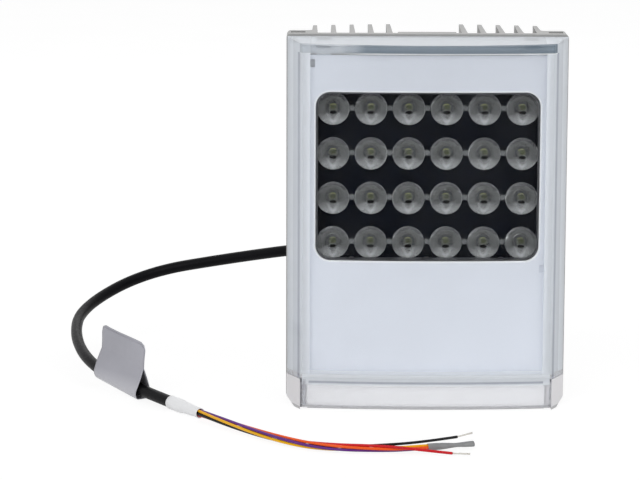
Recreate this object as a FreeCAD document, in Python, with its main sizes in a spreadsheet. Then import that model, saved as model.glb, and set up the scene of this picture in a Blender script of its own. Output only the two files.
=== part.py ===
"""White light illuminator: finned aluminium housing, clear front cover, 24 lenses and a connection cable.

Millimetres. X is to the right, the front faces -Y and Z is up. The origin is at the middle of the underside.
"""
import FreeCAD, Part
import math
import os
import re
import Sketcher

Vector = FreeCAD.Vector

# Driving sizes, in millimetres and degrees.
SIZES = {
    # Whole unit
    "body_width": 135.0,
    "body_height": 180.0,
    "body_depth": 68.0,
    # Heat-sink housing
    "plate_setback": 20.0,
    "plate_thickness": 6.0,
    "rail_depth": 11.5,
    "rail_width": 14.5,
    "rail_wall": 2.0,
    "slot_width": 7.0,
    "slot_depth": 6.5,
    "land_width": 28.0,
    "land_height": 5.0,
    "fins_per_side": 5,
    "fin_first": 18.0,
    "fin_rail_overlap": 1.0,
    "screw_bay": 9.0,
    "fin_root": 2.8,
    "fin_tip": 2.0,
    "fin_envelope": 200.0,
    "fin_fillet": 0.4,
    "rail_fillet": 2.5,
    "tapped_depth": 4.5,
    "corner_cut": 4.0,
    "corner_radius": 2.0,
    # Mounting threads in the rear land
    "mount_inset": 13.5,
    "mount_bore": 4.2,
    "mount_bore_depth": 9.0,
    # Clear front cover
    "bow_radius": 480.0,
    "cover_wall": 3.0,
    "cover_shelf": 1.5,
    "cover_step": 0.5,
    "cover_top_step": 1.0,
    "cover_edge": 1.5,
    "bevel_inset": 7.3,
    "bevel_top": 3.2,
    "seal_thickness": 1.0,
    "seal_band": 3.4,
    "cover_boss": 7.0,
    "cover_boss_depth": 9.0,
    "cover_boss_floor": 1.5,
    "cover_boss_overlap": 0.6,
    "cover_screw_top": 12.5,
    "cover_screw_bottom": 7.0,
    "tongue_lift": 1.0,
    # Bottom cap
    "cap_height": 15.0,
    "cap_joint": 0.3,
    "cap_seam": 0.9,
    "cap_bar_inset": 2.4,
    "cap_bar_step": 1.2,
    "cap_wall": 2.5,
    "cap_bar_height": 12.5,
    "cap_screw_height": 7.5,
    # Fascia and window
    "fascia_thickness": 1.6,
    "fascia_gap": 0.4,
    "fascia_leg": 1.5,
    "fascia_edge_inset": 2.2,
    "fascia_foot_gap": 0.7,
    "fascia_skirt": 2.0,
    "fascia_rim": 0.5,
    "slit_inset": 3.0,
    "slit_width": 0.7,
    "slit_length": 19.5,
    "slit_top_length": 8.0,
    "clip_drop": 4.0,
    "clip_width": 2.4,
    "clip_height": 3.6,
    "clip_inset": 2.5,
    "clip_depth": 0.8,
    "fascia_bottom_gap": 0.6,
    "fascia_top_drop": 8.5,
    "window_margin": 4.25,
    "window_play": 0.9,
    "window_radius": 7.0,
    "bezel_fit": 0.15,
    "bezel_recess": 0.3,
    "bezel_lip": 0.9,
    "bezel_slope": 6.0,
    "bezel_cut": 8.5,
    "bezel_lens_gap": 0.4,
    # Lenses and light emitters
    "lens_columns": 6,
    "lens_rows": 4,
    "lens_gap": 2.4,
    "lens_depth": 8.2,
    "lens_rim": 1.0,
    "lens_base": 7.0,
    "lens_waist": 12.6,
    "lens_waist_depth": 4.4,
    "lens_cavity": 4.6,
    "lens_cavity_depth": 3.4,
    "lens_lift": 0.8,
    "strip_height": 2.4,
    "strip_depth": 1.6,
    "strip_setback": 2.0,
    "strip_overlap": 1.5,
    "peg_diameter": 2.2,
    "led_side": 3.45,
    "led_base": 0.6,
    "led_dome": 2.0,
    "led_dome_rise": 0.9,
    # Boards
    "board_thickness": 1.6,
    "board_drop": 20.2,
    "board_margin": 0.15,
    "board_overhang": 6.0,
    "board_screw_inset": 3.0,
    "pad_thickness": 0.4,
    "pad_inset": 6.0,
    "driver_inset": 8.4,
    "driver_bottom": 21.0,
    "driver_top": 48.0,
    "driver_lift": 3.0,
    "driver_hole_inset": 4.0,
    "spacer_diameter": 5.0,
    # Screws
    "screw_diameter": 3.0,
    "screw_clearance": 0.2,
    "screw_head": 5.5,
    "screw_head_height": 2.4,
    "screw_socket": 2.5,
    "screw_socket_depth": 1.4,
    "washer_play": 0.1,
    "washer_thickness": 0.8,
    "rear_head_play": 0.7,
    "cover_screw_length": 14.0,
    "cap_screw_length": 13.0,
    "board_screw_length": 6.0,
    "driver_screw_length": 8.0,
    # Cable gland
    "gland_height": 58.0,
    "gland_seat_depth": 1.0,
    "gland_seat_height": 22.0,
    "gland_thread": 12.0,
    "gland_clearance": 0.3,
    "gland_flats": 15.0,
    "locknut_clearance": 1.3,
    "gland_collar": 4.0,
    "gland_washer": 1.0,
    "gland_washer_diameter": 17.0,
    "gland_bore": 9.4,
    "gland_stub": 6.0,
    "gland_nut_length": 9.0,
    "gland_nut_gap": 0.2,
    "gland_mouth": 6.8,
    "gland_mouth_wall": 2.0,
    "gland_tail": 3.8,
    "locknut_thickness": 2.8,
    "seal_length": 7.0,
    "cable_clearance": 0.2,
    # Cable and its ends
    "cable_diameter": 5.8,
    "wire_diameter": 1.3,
    "bundle_radius": 1.45,
    "sleeve_length": 26.0,
    "sleeve_grip": 10.0,
    "sleeve_diameter": 6.6,
    "sleeve_end_diameter": 5.0,
    "sleeve_end_bore": 4.4,
    "sleeve_end_grip": 4.0,
    "sleeve_throat": 3.0,
    "splice_diameter": 3.6,
    "splice_bore": 3.1,
    "splice_length": 22.0,
    "splice_grip": 7.0,
    "splice_approach": 4.0,
    "splice_wire_radius": 0.78,
    "wire_start_gap": 0.4,
    "strand_diameter": 0.8,
    "label_length": 34.0,
    "label_rise": 22.0,
    "label_apex": 12.0,
    "label_gap": 0.8,
    "label_shift": 3.0,
    "label_film": 0.25,
    "label_radius": 3.0,
    "label_join": 1.0,
    "label_fold": 0.3,
    # How far a cutting sketch reaches past the solid
    "cut_margin": 1.0,
}

# Sizes that follow from the driving ones.
DERIVED = {
    "fin_last": "body_width / 2 - rail_width + fin_rail_overlap",
    "fin_pitch": "(fin_last - screw_bay - fin_first) / (fins_per_side - 2)",
    "fascia_half_width": "body_width / 2 - cover_step - bevel_inset - fascia_edge_inset",
    "fascia_foot": "body_width / 2 - 2 * cover_step - seal_band - fascia_foot_gap",
    "window_width": "2 * (fascia_half_width - window_margin)",
    "board_bottom": "gland_height + gland_flats / 2 + locknut_clearance",
    "board_half_width": "window_width / 2 + board_margin",
    "board_half_height": "(body_height - board_drop - board_bottom) / 2",
    "array_height": "board_bottom + board_half_height",
    "window_height": "2 * (board_half_height - board_overhang)",
    "lens_pitch_x": "(window_width - window_play + lens_gap) / lens_columns",
    "lens_diameter": "min(lens_pitch_x; (window_height - window_play + lens_gap) / lens_rows) - lens_gap",
    "lens_pitch_z": "(window_height - window_play - lens_diameter) / (lens_rows - 1)",
    "mount_spacing": "2 * (board_half_height - mount_inset)",
    "driver_half_width": "board_half_width - driver_inset",
}

# Parts on the driver board. Places are across from the middle and up from the board's lower edge.
PART_FIELDS = ("count", "first", "pitch", "rise", "width", "height", "depth")
DRIVER_PARTS = {
    "power_inductors": (2, -27.0, 16.0, 14.0, 12.0, 12.0, 6.5),
    "power_transistors": (3, 5.0, 9.0, 9.5, 6.6, 6.1, 2.3),
    "controller_chip": (1, 26.5, 0.0, 21.0, 6.4, 9.0, 1.5),
    "terminal_block": (1, 8.5, 0.0, 21.0, 20.0, 8.0, 8.0),
    "led_connector": (1, -27.0, 0.0, 23.4, 8.0, 5.0, 4.5),
    "smoothing_capacitors": (2, -37.5, 71.5, 11.0, 8.0, 8.0, 7.5),
}
for label, values in DRIVER_PARTS.items():
    SIZES.update({f"{label}_{field}": value for field, value in zip(PART_FIELDS, values)})

doc = FreeCAD.newDocument("Illuminator")
sheet = doc.addObject("Spreadsheet::Sheet", "Sizes")
NAMES = [*SIZES, *DERIVED]
for row, alias in enumerate(NAMES, 1):
    sheet.set(f"A{row}", alias)
    sheet.set(f"B{row}", str(SIZES.get(alias, 0)))
    sheet.setAlias(f"B{row}", alias)
for alias, formula in DERIVED.items():
    sheet.set(f"B{NAMES.index(alias) + 1}", f"={formula}")
doc.recompute()


def bound(text):
    """The expression with each size's name pointed at its cell."""
    return re.sub(r"[a-z_]+", lambda word: "Sizes." + word[0] if word[0] in NAMES else word[0], text)


def num(text):
    return float(sheet.evalExpression(bound(text)))


# Places that several pieces share, as expressions. Depths are along Y.
FRONT = "(-body_depth / 2)"
PLATE_FRONT = "(plate_setback - body_depth / 2)"
PLATE_BACK = f"({PLATE_FRONT} + plate_thickness)"
RAIL_BACK = f"({PLATE_BACK} + rail_depth)"
LAND_BACK = f"({PLATE_BACK} + land_height)"
COVER_BACK = f"({PLATE_FRONT} - seal_thickness)"
COVER_HALF = "(body_width / 2 - cover_step)"
COVER_TOP = "(body_height - cover_top_step)"
FACE_HALF = f"({COVER_HALF} - bevel_inset)"
BOARD_FRONT = f"({PLATE_FRONT} - pad_thickness - board_thickness)"
LENS_BASE = f"({BOARD_FRONT} - lens_lift)"
LENS_FRONT = f"({LENS_BASE} - lens_depth)"
BEZEL_BACK = f"({LENS_FRONT} - bezel_lens_gap)"
DRIVER_BACK = f"({PLATE_FRONT} - driver_lift)"
DRIVER_FRONT = f"({DRIVER_BACK} - board_thickness)"
GLAND_SEAT = f"({LAND_BACK} - gland_seat_depth)"
COLLAR_BACK = f"({GLAND_SEAT} + gland_washer + gland_collar)"
GLAND_MOUTH = f"({COLLAR_BACK} + gland_nut_gap + gland_nut_length)"
SCREW_HOLE = "(screw_diameter + screw_clearance)"
SCREW_COLUMN = "(fin_last - screw_bay / 2)"
BAY_GAP = "(screw_bay - fin_root)"


def bowed(across, inset):
    """Depth at a distance across, on the bowed front moved inwards by the inset."""
    return f"({FRONT} + bow_radius - sqrt((bow_radius - ({inset}))^2 - ({across})^2))"


def body(label):
    made = doc.addObject("PartDesign::Body", label)
    made.Label = label
    return made


def sketch(owner, role, offset="0"):
    """A sketch on one of the body's own origin planes, moved along its normal."""
    made = owner.newObject("Sketcher::SketchObject", owner.Name + "_sketch")
    plane = next(item for item in owner.Origin.OriginFeatures if item.Role == role)
    made.AttachmentSupport = [(plane, "")]
    made.MapMode = "FlatFace"
    made.setExpression("AttachmentOffset.Base.z", bound(offset))
    return made


def flat(owner, height="0"):
    """A sketch parallel to the ground, at a height."""
    return sketch(owner, "XY_Plane", height)


def upright(owner, depth="0"):
    """A sketch facing the front, at a depth along Y."""
    return sketch(owner, "XZ_Plane", f"-({depth})")


def endpoint(drawing, edge, point):
    curve = drawing.Geometry[edge]
    return 1 if (curve.StartPoint - point).Length < (curve.EndPoint - point).Length else 2


def outline(drawing, corners, arcs=None):
    """A closed outline, counterclockwise. arcs: edge number to (radius, 1 if convex or -1 if hollow)."""
    arcs = arcs or {}
    points = [Vector(num(x), num(y), 0) for x, y in corners]
    count = len(points)
    base = len(drawing.Geometry)
    for index, start in enumerate(points):
        end = points[(index + 1) % count]
        if index in arcs:
            radius, side = num(arcs[index][0]), arcs[index][1]
            chord = end - start
            normal = Vector(-chord.y, chord.x, 0).normalize()
            rise = radius - math.sqrt(radius ** 2 - chord.Length ** 2 / 4)
            middle = (start + end) / 2 - normal * rise * side
            turn = (start, middle, end) if side > 0 else (end, middle, start)
            drawing.addGeometry(Part.Arc(*turn), False)
        else:
            drawing.addGeometry(Part.LineSegment(start, end), False)
    for index in range(count):
        after = (index + 1) % count
        ends = endpoint(drawing, base + index, points[after]), endpoint(drawing, base + after, points[after])
        joint = Sketcher.Constraint("Coincident", base + index, ends[0], base + after, ends[1])
        drawing.addConstraint(joint)
    for index, corner in enumerate(corners):
        for kind, text in zip(("DistanceX", "DistanceY"), corner):
            end = endpoint(drawing, base + index, points[index])
            distance = Sketcher.Constraint(kind, -1, 1, base + index, end, num(text))
            number = drawing.addConstraint(distance)
            drawing.setExpression(f"Constraints[{number}]", bound(text))
    for index, (radius, _) in arcs.items():
        number = drawing.addConstraint(Sketcher.Constraint("Radius", base + index, num(radius)))
        drawing.setExpression(f"Constraints[{number}]", bound(radius))


def rectangle(drawing, left, bottom, right, top):
    outline(drawing, [(left, bottom), (right, bottom), (right, top), (left, top)])


def rounded(drawing, x, y, half_x, half_y, radius):
    """A rounded rectangle about its centre."""
    left, right = f"({x}) - ({half_x})", f"({x}) + ({half_x})"
    low, high = f"({y}) - ({half_y})", f"({y}) + ({half_y})"
    corners = [
        (f"{left} + ({radius})", low), (f"{right} - ({radius})", low),
        (right, f"{low} + ({radius})"), (right, f"{high} - ({radius})"),
        (f"{right} - ({radius})", high), (f"{left} + ({radius})", high),
        (left, f"{high} - ({radius})"), (left, f"{low} + ({radius})"),
    ]
    outline(drawing, corners, {edge: (radius, 1) for edge in (1, 3, 5, 7)})


def circle(drawing, x, y, diameter):
    centre = Vector(num(x), num(y), 0)
    edge = drawing.addGeometry(Part.Circle(centre, Vector(0, 0, 1), num(diameter) / 2), False)
    for kind, text in (("DistanceX", x), ("DistanceY", y)):
        number = drawing.addConstraint(Sketcher.Constraint(kind, -1, 1, edge, 3, num(text)))
        drawing.setExpression(f"Constraints[{number}]", bound(text))
    number = drawing.addConstraint(Sketcher.Constraint("Diameter", edge, num(diameter)))
    drawing.setExpression(f"Constraints[{number}]", bound(diameter))


def hexagon(drawing, x, y, flats):
    """A hexagon with two flats parallel to the vertical."""
    corner = f"({flats}) / sqrt(3)"
    places = []
    for step in range(6):
        angle = math.radians(30 + 60 * step)
        across, along = round(math.cos(angle), 9), round(math.sin(angle), 9)
        places.append((f"({x}) + {corner} * {across}", f"({y}) + {corner} * {along}"))
    outline(drawing, places)


def volume(owner):
    return owner.Shape.Volume if owner.Tip and not owner.Shape.isNull() else 0.0


def pad(owner, drawing, length, backwards=False):
    """Adds the sketch's prism. An upright sketch grows to the front unless backwards."""
    before = volume(owner)
    made = owner.newObject("PartDesign::Pad", owner.Name + "_pad")
    made.Profile = drawing
    made.Reversed = backwards
    made.setExpression("Length", bound(length))
    doc.recompute()
    if volume(owner) <= before:
        raise RuntimeError(f"{owner.Label}: a pad adds nothing")
    return made


def pocket(owner, drawing, depth=None, backwards=False, taper=None, both=False):
    """Cuts the sketch's prism. An upright sketch cuts to the rear unless backwards."""
    before = volume(owner)
    made = owner.newObject("PartDesign::Pocket", owner.Name + "_pocket")
    made.Profile = drawing
    made.Reversed = backwards
    if both:
        made.SideType = "Symmetric"
    if depth is None:
        made.Type = "ThroughAll"
    else:
        made.setExpression("Length", bound(depth))
    if taper:
        made.setExpression("TaperAngle", bound(taper))
    doc.recompute()
    if volume(owner) >= before:
        raise RuntimeError(f"{owner.Label}: a pocket cuts nothing")
    return made


def edges_where(feature, wanted):
    """Names of the feature's straight edges for which the test of their two ends holds."""
    names = []
    for number, edge in enumerate(feature.Shape.Edges, 1):
        if len(edge.Vertexes) == 2 and wanted(edge.Vertexes[0].Point, edge.Vertexes[1].Point):
            names.append(f"Edge{number}")
    return names


def fillet(owner, wanted, radius):
    tip = owner.Tip
    names = edges_where(tip, wanted)
    if not names:
        raise RuntimeError(f"{owner.Label}: no edge to round")
    made = owner.newObject("PartDesign::Fillet", owner.Name + "_fillet")
    made.Base = (tip, names)
    made.setExpression("Radius", bound(radius))
    doc.recompute()
    return made


def near(value, text):
    return abs(value - num(text)) < 1e-4


def fin_centres():
    """Even steps from the land outwards, then the last fin beside the rail, one screw bay further on."""
    steps = range(int(num("fins_per_side")) - 1)
    return [f"(fin_first + {step} * fin_pitch)" for step in steps] + ["fin_last"]


def make_housing():
    """Extruded heat sink: plate, slotted rails, threaded rear land and tapered fins on a curved envelope."""
    housing = body("housing")
    half, rail = "body_width / 2", "(body_width / 2 - rail_width)"
    drawing = flat(housing)
    outline(drawing, [
        (f"-{half}", PLATE_FRONT), (half, PLATE_FRONT), (half, RAIL_BACK), (rail, RAIL_BACK),
        (rail, PLATE_BACK), ("land_width / 2", PLATE_BACK), ("land_width / 2", LAND_BACK),
        ("-land_width / 2", LAND_BACK), ("-land_width / 2", PLATE_BACK), (f"-{rail}", PLATE_BACK),
        (f"-{rail}", RAIL_BACK), (f"-{half}", RAIL_BACK),
    ])
    pad(housing, drawing, "body_height")

    def tip_depth(across):
        inner = "(fin_first - fin_tip / 2)"
        rise = f"sqrt(fin_envelope^2 - ({across})^2) - sqrt(fin_envelope^2 - {inner}^2)"
        return f"body_depth / 2 + {rise}"

    drawing = flat(housing)
    for side in (1, -1):
        for centre in fin_centres():
            root = [(f"{side} * ({centre} + {sign} * fin_root / 2)", PLATE_BACK) for sign in (-side, side)]
            tip = [f"{side} * ({centre} + {sign} * fin_tip / 2)" for sign in (side, -side)]
            outline(drawing, root + [(across, tip_depth(across)) for across in tip])
    pad(housing, drawing, "body_height")

    def at_root(one, other):
        upright_edge = abs(one.x - other.x) + abs(one.y - other.y) < 1e-6
        return upright_edge and near(one.y, PLATE_BACK) and abs(one.x) > num("land_width / 2") + 0.1

    fillet(housing, at_root, "fin_fillet")

    def at_rail(one, other):
        upright_edge = abs(one.x - other.x) + abs(one.y - other.y) < 1e-6
        beside = num("fin_last") < abs(one.x) < num("fin_last + fin_root")
        return upright_edge and near(one.y, RAIL_BACK) and beside

    fillet(housing, at_rail, "rail_fillet")

    drawing = flat(housing)
    for side in (1, -1):
        outer = f"{side} * (body_width / 2 - rail_wall)"
        ends = [f"{outer} - {side} * slot_width", outer]
        if side < 0:
            ends.reverse()
        rectangle(drawing, ends[0], PLATE_BACK, ends[1], f"{PLATE_BACK} + slot_depth")
    pocket(housing, drawing, backwards=True)

    drawing = upright(housing, PLATE_FRONT)
    for side in (1, -1):
        foot = [(f"{side} * (body_width / 2 - corner_cut)", "0"), (f"{side} * body_width / 2", "0"),
                (f"{side} * body_width / 2", "corner_cut")]
        crown = [(f"{side} * body_width / 2", "body_height - corner_radius"),
                 (f"{side} * body_width / 2", "body_height"),
                 (f"{side} * (body_width / 2 - corner_radius)", "body_height")]
        arc_edge, convex = (2, -1)
        if side < 0:
            foot.reverse()
            crown.reverse()
        outline(drawing, foot)
        outline(drawing, crown, {arc_edge: ("corner_radius", convex)})
    pocket(housing, drawing)

    drawing = upright(housing, LAND_BACK)
    for way in (1, -1):
        circle(drawing, "0", f"array_height + {way} * mount_spacing / 2", "mount_bore")
    pocket(housing, drawing, "mount_bore_depth", backwards=True)

    drawing = upright(housing, LAND_BACK)
    rectangle(drawing, "-(land_width / 2 + cut_margin)", "gland_height - gland_seat_height / 2",
              "land_width / 2 + cut_margin", "gland_height + gland_seat_height / 2")
    pocket(housing, drawing, "gland_seat_depth", backwards=True)
    drawing = upright(housing, GLAND_SEAT)
    circle(drawing, "0", "gland_height", "gland_thread + gland_clearance")
    pocket(housing, drawing, backwards=True)

    drawing = upright(housing, PLATE_FRONT)
    for across, height in plate_screws():
        circle(drawing, across, height, SCREW_HOLE)
    pocket(housing, drawing)

    drawing = upright(housing, PLATE_FRONT)
    for across, height in board_screws() + driver_screws():
        circle(drawing, across, height, SCREW_HOLE)
    pocket(housing, drawing, "tapped_depth")
    return housing


def cover_screws():
    heights = (f"{COVER_TOP} - cover_screw_top", "cap_height + cover_screw_bottom")
    return [(f"{side} * {SCREW_COLUMN}", height) for side in (1, -1) for height in heights]


def cap_screws():
    return [(f"{side} * {SCREW_COLUMN}", "cap_screw_height") for side in (1, -1)]


def plate_screws():
    return cover_screws() + cap_screws()


def lens_places():
    """Across-places of a row's lenses and heights of the rows, top row first."""
    columns, rows = int(num("lens_columns")), int(num("lens_rows"))
    across = [f"({index} - (lens_columns - 1) / 2) * lens_pitch_x" for index in range(columns)]
    heights = [f"(array_height + ((lens_rows - 1) / 2 - {index}) * lens_pitch_z)" for index in range(rows)]
    return across, heights


def board_screws():
    """Above and below the lenses, behind the fascia."""
    return [(f"{step} * lens_pitch_x", f"array_height + {way} * (board_half_height - board_screw_inset)")
            for way in (1, -1) for step in (-2, 0, 2)]


def driver_screws():
    return [(f"{side} * (driver_half_width - driver_hole_inset)", height) for side in (1, -1)
            for height in ("driver_bottom + driver_hole_inset", "driver_top - driver_hole_inset")]


def cover_plan(half, edge_back, front_half, inset):
    """Plan of the cover: straight edge, bevelled side and bowed front."""
    corner = bowed(front_half, inset)
    return [(f"-({front_half})", corner), (front_half, corner), (half, f"({edge_back} - cover_edge)"),
            (half, edge_back), (f"-({half})", edge_back), (f"-({half})", f"({edge_back} - cover_edge)")]


def make_cover():
    """Clear moulded shell with bevelled sides and top, a bowed front and a tongue down over the cap."""
    cover = body("front_cover")
    floor = "(cap_height + cover_shelf - cover_wall)"
    drawing = flat(cover, floor)
    outline(drawing, cover_plan(COVER_HALF, COVER_BACK, FACE_HALF, "0"), {0: ("bow_radius", 1)})
    pad(cover, drawing, f"{COVER_TOP} - {floor}")

    drawing = sketch(cover, "YZ_Plane")
    start = f"({COVER_BACK} - cover_edge)"
    ahead = f"({FRONT} - cut_margin)"
    fall = f"bevel_top * ({start} - {ahead}) / ({start} - {FRONT})"
    outline(drawing, [(ahead, f"{COVER_TOP} - {fall}"), (start, COVER_TOP), (ahead, COVER_TOP)])
    pocket(cover, drawing, both=True)

    solid = cover.Tip
    rear = [f"Face{number}" for number, face in enumerate(solid.Shape.Faces, 1)
            if near(face.CenterOfMass.y, COVER_BACK)]
    shell = cover.newObject("PartDesign::Thickness", "front_cover_shell")
    shell.Base = (solid, rear)
    shell.Reversed = True
    shell.Join = 1
    shell.setExpression("Value", bound("cover_wall"))
    doc.recompute()

    drawing = flat(cover, "cap_height")
    beyond = f"({COVER_HALF} + cut_margin)"
    rectangle(drawing, f"-{beyond}", f"{FRONT} - cut_margin", beyond, f"{COVER_BACK} + cut_margin")
    pocket(cover, drawing)

    drawing = flat(cover, "tongue_lift")
    outer, inner = bowed(FACE_HALF, "0"), bowed(FACE_HALF, "cover_wall")
    corners = [(f"-{FACE_HALF}", outer), (FACE_HALF, outer), (FACE_HALF, inner), (f"-{FACE_HALF}", inner)]
    outline(drawing, corners, {0: ("bow_radius", 1), 2: ("bow_radius - cover_wall", -1)})
    pad(cover, drawing, "cap_height + cover_shelf - tongue_lift")

    drawing = upright(cover, COVER_BACK)
    for side in (1, -1):
        left = f"{side} * {SCREW_COLUMN} - cover_boss / 2"
        right = f"{side} * {SCREW_COLUMN} + cover_boss / 2"
        rectangle(drawing, left, f"{COVER_TOP} - cover_screw_top - cover_boss / 2", right,
                  f"{COVER_TOP} - cover_wall + cover_boss_overlap")
        rectangle(drawing, left, "cap_height + cover_shelf / 2", right,
                  "cap_height + cover_screw_bottom + cover_boss / 2")
    pad(cover, drawing, "cover_boss_depth")
    drawing = upright(cover, COVER_BACK)
    for across, height in cover_screws():
        circle(drawing, across, height, SCREW_HOLE)
    pocket(cover, drawing, "cover_boss_depth - cover_boss_floor", backwards=True)
    return cover


def make_seal():
    """Flat ring between the cover's rear edge and the plate."""
    seal = body("cover_seal")
    drawing = upright(seal, PLATE_FRONT)
    half, inner = f"({COVER_HALF} - cover_step)", f"({COVER_HALF} - cover_step - seal_band)"
    bottom, top = "cap_height + cover_step", f"{COVER_TOP} - cover_step"
    rectangle(drawing, f"-{half}", bottom, half, top)
    rectangle(drawing, f"-{inner}", "cap_height + cover_shelf", inner, f"{top} - 2 * seal_band")
    pad(seal, drawing, "seal_thickness")
    return seal


def make_cap():
    """White end cap below the cover: two corner blocks and a lower bar behind the cover's tongue."""
    cap = body("bottom_cap")
    recess = "cover_wall + cap_joint"
    block_half = f"({FACE_HALF} + cap_seam)"
    front, behind = bowed(block_half, "0"), bowed(block_half, recess)
    half = f"({COVER_HALF} + cover_step / 2)"
    shoulder = f"({COVER_BACK} - cover_edge)"
    bar, deep = f"({FACE_HALF} - cap_bar_inset)", f"({behind} + cap_bar_step)"
    drawing = flat(cap)
    outline(drawing, [
        (f"-{bar}", bowed(bar, recess)), (bar, bowed(bar, recess)), (bar, deep), (block_half, deep),
        (block_half, front), (half, shoulder), (half, PLATE_FRONT), (f"-{half}", PLATE_FRONT),
        (f"-{half}", shoulder), (f"-{block_half}", front), (f"-{block_half}", deep), (f"-{bar}", deep),
    ], {0: (f"bow_radius - ({recess})", 1)})
    pad(cap, drawing, "cap_bar_height")

    drawing = flat(cap, "cap_bar_height")
    for side in (1, -1):
        block = [(f"{side} * {block_half}", front), (f"{side} * {half}", shoulder),
                 (f"{side} * {half}", PLATE_FRONT), (f"{side} * {block_half}", PLATE_FRONT)]
        if side < 0:
            block.reverse()
        outline(drawing, block)
    pad(cap, drawing, "cap_height - cap_joint - cap_bar_height")

    drawing = flat(cap, "cap_wall")
    inner = bowed(f"{SCREW_COLUMN} - cover_boss", f"{recess} + cap_wall")
    room = f"({SCREW_COLUMN} - cover_boss)"
    rectangle(drawing, f"-{room}", f"{inner}", room, f"{PLATE_FRONT} - cap_wall")
    pocket(cap, drawing, backwards=True)

    drawing = upright(cap, PLATE_FRONT)
    for side in (1, -1):
        beyond = f"{side} * (body_width / 2 + cut_margin)"
        wedge = [(f"{side} * (body_width / 2 - corner_cut)", "0"), (beyond, "0"),
                 (beyond, "corner_cut + cut_margin")]
        if side < 0:
            wedge.reverse()
        outline(drawing, wedge)
    pocket(cap, drawing, backwards=True)

    drawing = upright(cap, PLATE_FRONT)
    for across, height in cap_screws():
        circle(drawing, across, height, SCREW_HOLE)
    pocket(cap, drawing, "cover_boss_depth - cover_boss_floor", backwards=True)
    return cap


def make_fascia():
    """White bowed tray with slanted wings that stand on the housing plate, and the lens window."""
    fascia = body("fascia")
    face = "(cover_wall + fascia_gap)"
    back = f"({face} + fascia_thickness)"
    half, inner = "fascia_half_width", "(fascia_half_width - fascia_leg)"
    foot, heel = "fascia_foot", "(fascia_foot - fascia_leg)"
    skirt = f"({PLATE_FRONT} - fascia_skirt)"
    bottom, top = "(cap_height + cover_shelf + fascia_bottom_gap)", "(body_height - fascia_top_drop)"
    drawing = flat(fascia, bottom)
    outline(drawing, [
        (f"-{half}", bowed(half, face)), (half, bowed(half, face)), (foot, skirt), (foot, PLATE_FRONT),
        (heel, PLATE_FRONT), (heel, skirt), (inner, bowed(inner, back)), (f"-{inner}", bowed(inner, back)),
        (f"-{heel}", skirt), (f"-{heel}", PLATE_FRONT), (f"-{foot}", PLATE_FRONT), (f"-{foot}", skirt),
    ], {0: (f"bow_radius - {face}", 1), 6: (f"bow_radius - {back}", -1)})
    pad(fascia, drawing, f"{top} - {bottom}")
    drawing = upright(fascia, PLATE_FRONT)
    rounded(drawing, "0", "array_height", "window_width / 2", "window_height / 2", "window_radius")
    window = pocket(fascia, drawing, backwards=True)
    round_rim(fascia, window, face)

    drawing = upright(fascia, skirt)
    lower = (f"{bottom} - cut_margin", f"{bottom} + slit_length")
    upper = (f"{top} - slit_top_length", f"{top} + cut_margin")
    for side, (low, high) in ((1, lower), (-1, lower), (-1, upper)):
        middle = f"{side} * (fascia_foot - slit_inset)"
        rectangle(drawing, f"{middle} - slit_width / 2", low, f"{middle} + slit_width / 2", high)
    pocket(fascia, drawing, backwards=True)

    recess = "(fascia_half_width - clip_inset)"
    drawing = upright(fascia, FRONT)
    for side, height in ((-1, f"{top} - clip_drop"), (1, "array_height - window_height / 2 - clip_drop")):
        middle = f"{side} * {recess}"
        rectangle(drawing, f"{middle} - clip_width / 2", f"{height} - clip_height / 2",
                  f"{middle} + clip_width / 2", f"{height} + clip_height / 2")
    pocket(fascia, drawing, f"{bowed(recess, face)} + clip_depth - {FRONT}")
    return fascia


def round_rim(fascia, window, face):
    """Rounds the front edge of the window."""
    limit = num(bowed("window_width / 2", face)) + num("fascia_rim")
    half_x, half_z = num("window_width / 2"), num("window_height / 2")
    names = []
    for number, edge in enumerate(window.Shape.Edges, 1):
        box = edge.BoundBox
        in_window = box.XMax < half_x + 0.1 and box.XMin > -half_x - 0.1
        in_height = abs((box.ZMax + box.ZMin) / 2 - num("array_height")) < half_z + 0.1
        if in_window and in_height and box.YMax < limit and box.YMax - box.YMin < num("fascia_thickness"):
            names.append(f"Edge{number}")
    made = fascia.newObject("PartDesign::Fillet", "fascia_rim")
    made.Base = (window, names)
    made.setExpression("Radius", bound("fascia_rim"))
    doc.recompute()


def make_bezel():
    """Black frame in the fascia's window, with inner walls that slope in to the lenses."""
    bezel = body("window_bezel")
    half = "(window_width / 2 - bezel_fit)"
    face = "(cover_wall + fascia_gap + bezel_recess)"
    tall = "(window_height / 2 - bezel_fit)"
    drawing = flat(bezel, f"array_height - {tall}")
    outline(drawing, [(f"-{half}", bowed(half, face)), (half, bowed(half, face)), (half, BEZEL_BACK),
                      (f"-{half}", BEZEL_BACK)], {0: (f"bow_radius - {face}", 1)})
    pad(bezel, drawing, f"2 * {tall}")

    def corner(one, other):
        along = abs(one.x - other.x) + abs(one.z - other.z) < 1e-6
        return along and near(abs(one.x), half)

    fillet(bezel, corner, "window_radius - bezel_fit")
    drawing = upright(bezel, BEZEL_BACK)
    rounded(drawing, "0", "array_height", f"{half} - bezel_lip", f"{tall} - bezel_lip",
            "window_radius - bezel_lip")
    pocket(bezel, drawing, "bezel_cut", backwards=True, taper="bezel_slope")
    return bezel


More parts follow.
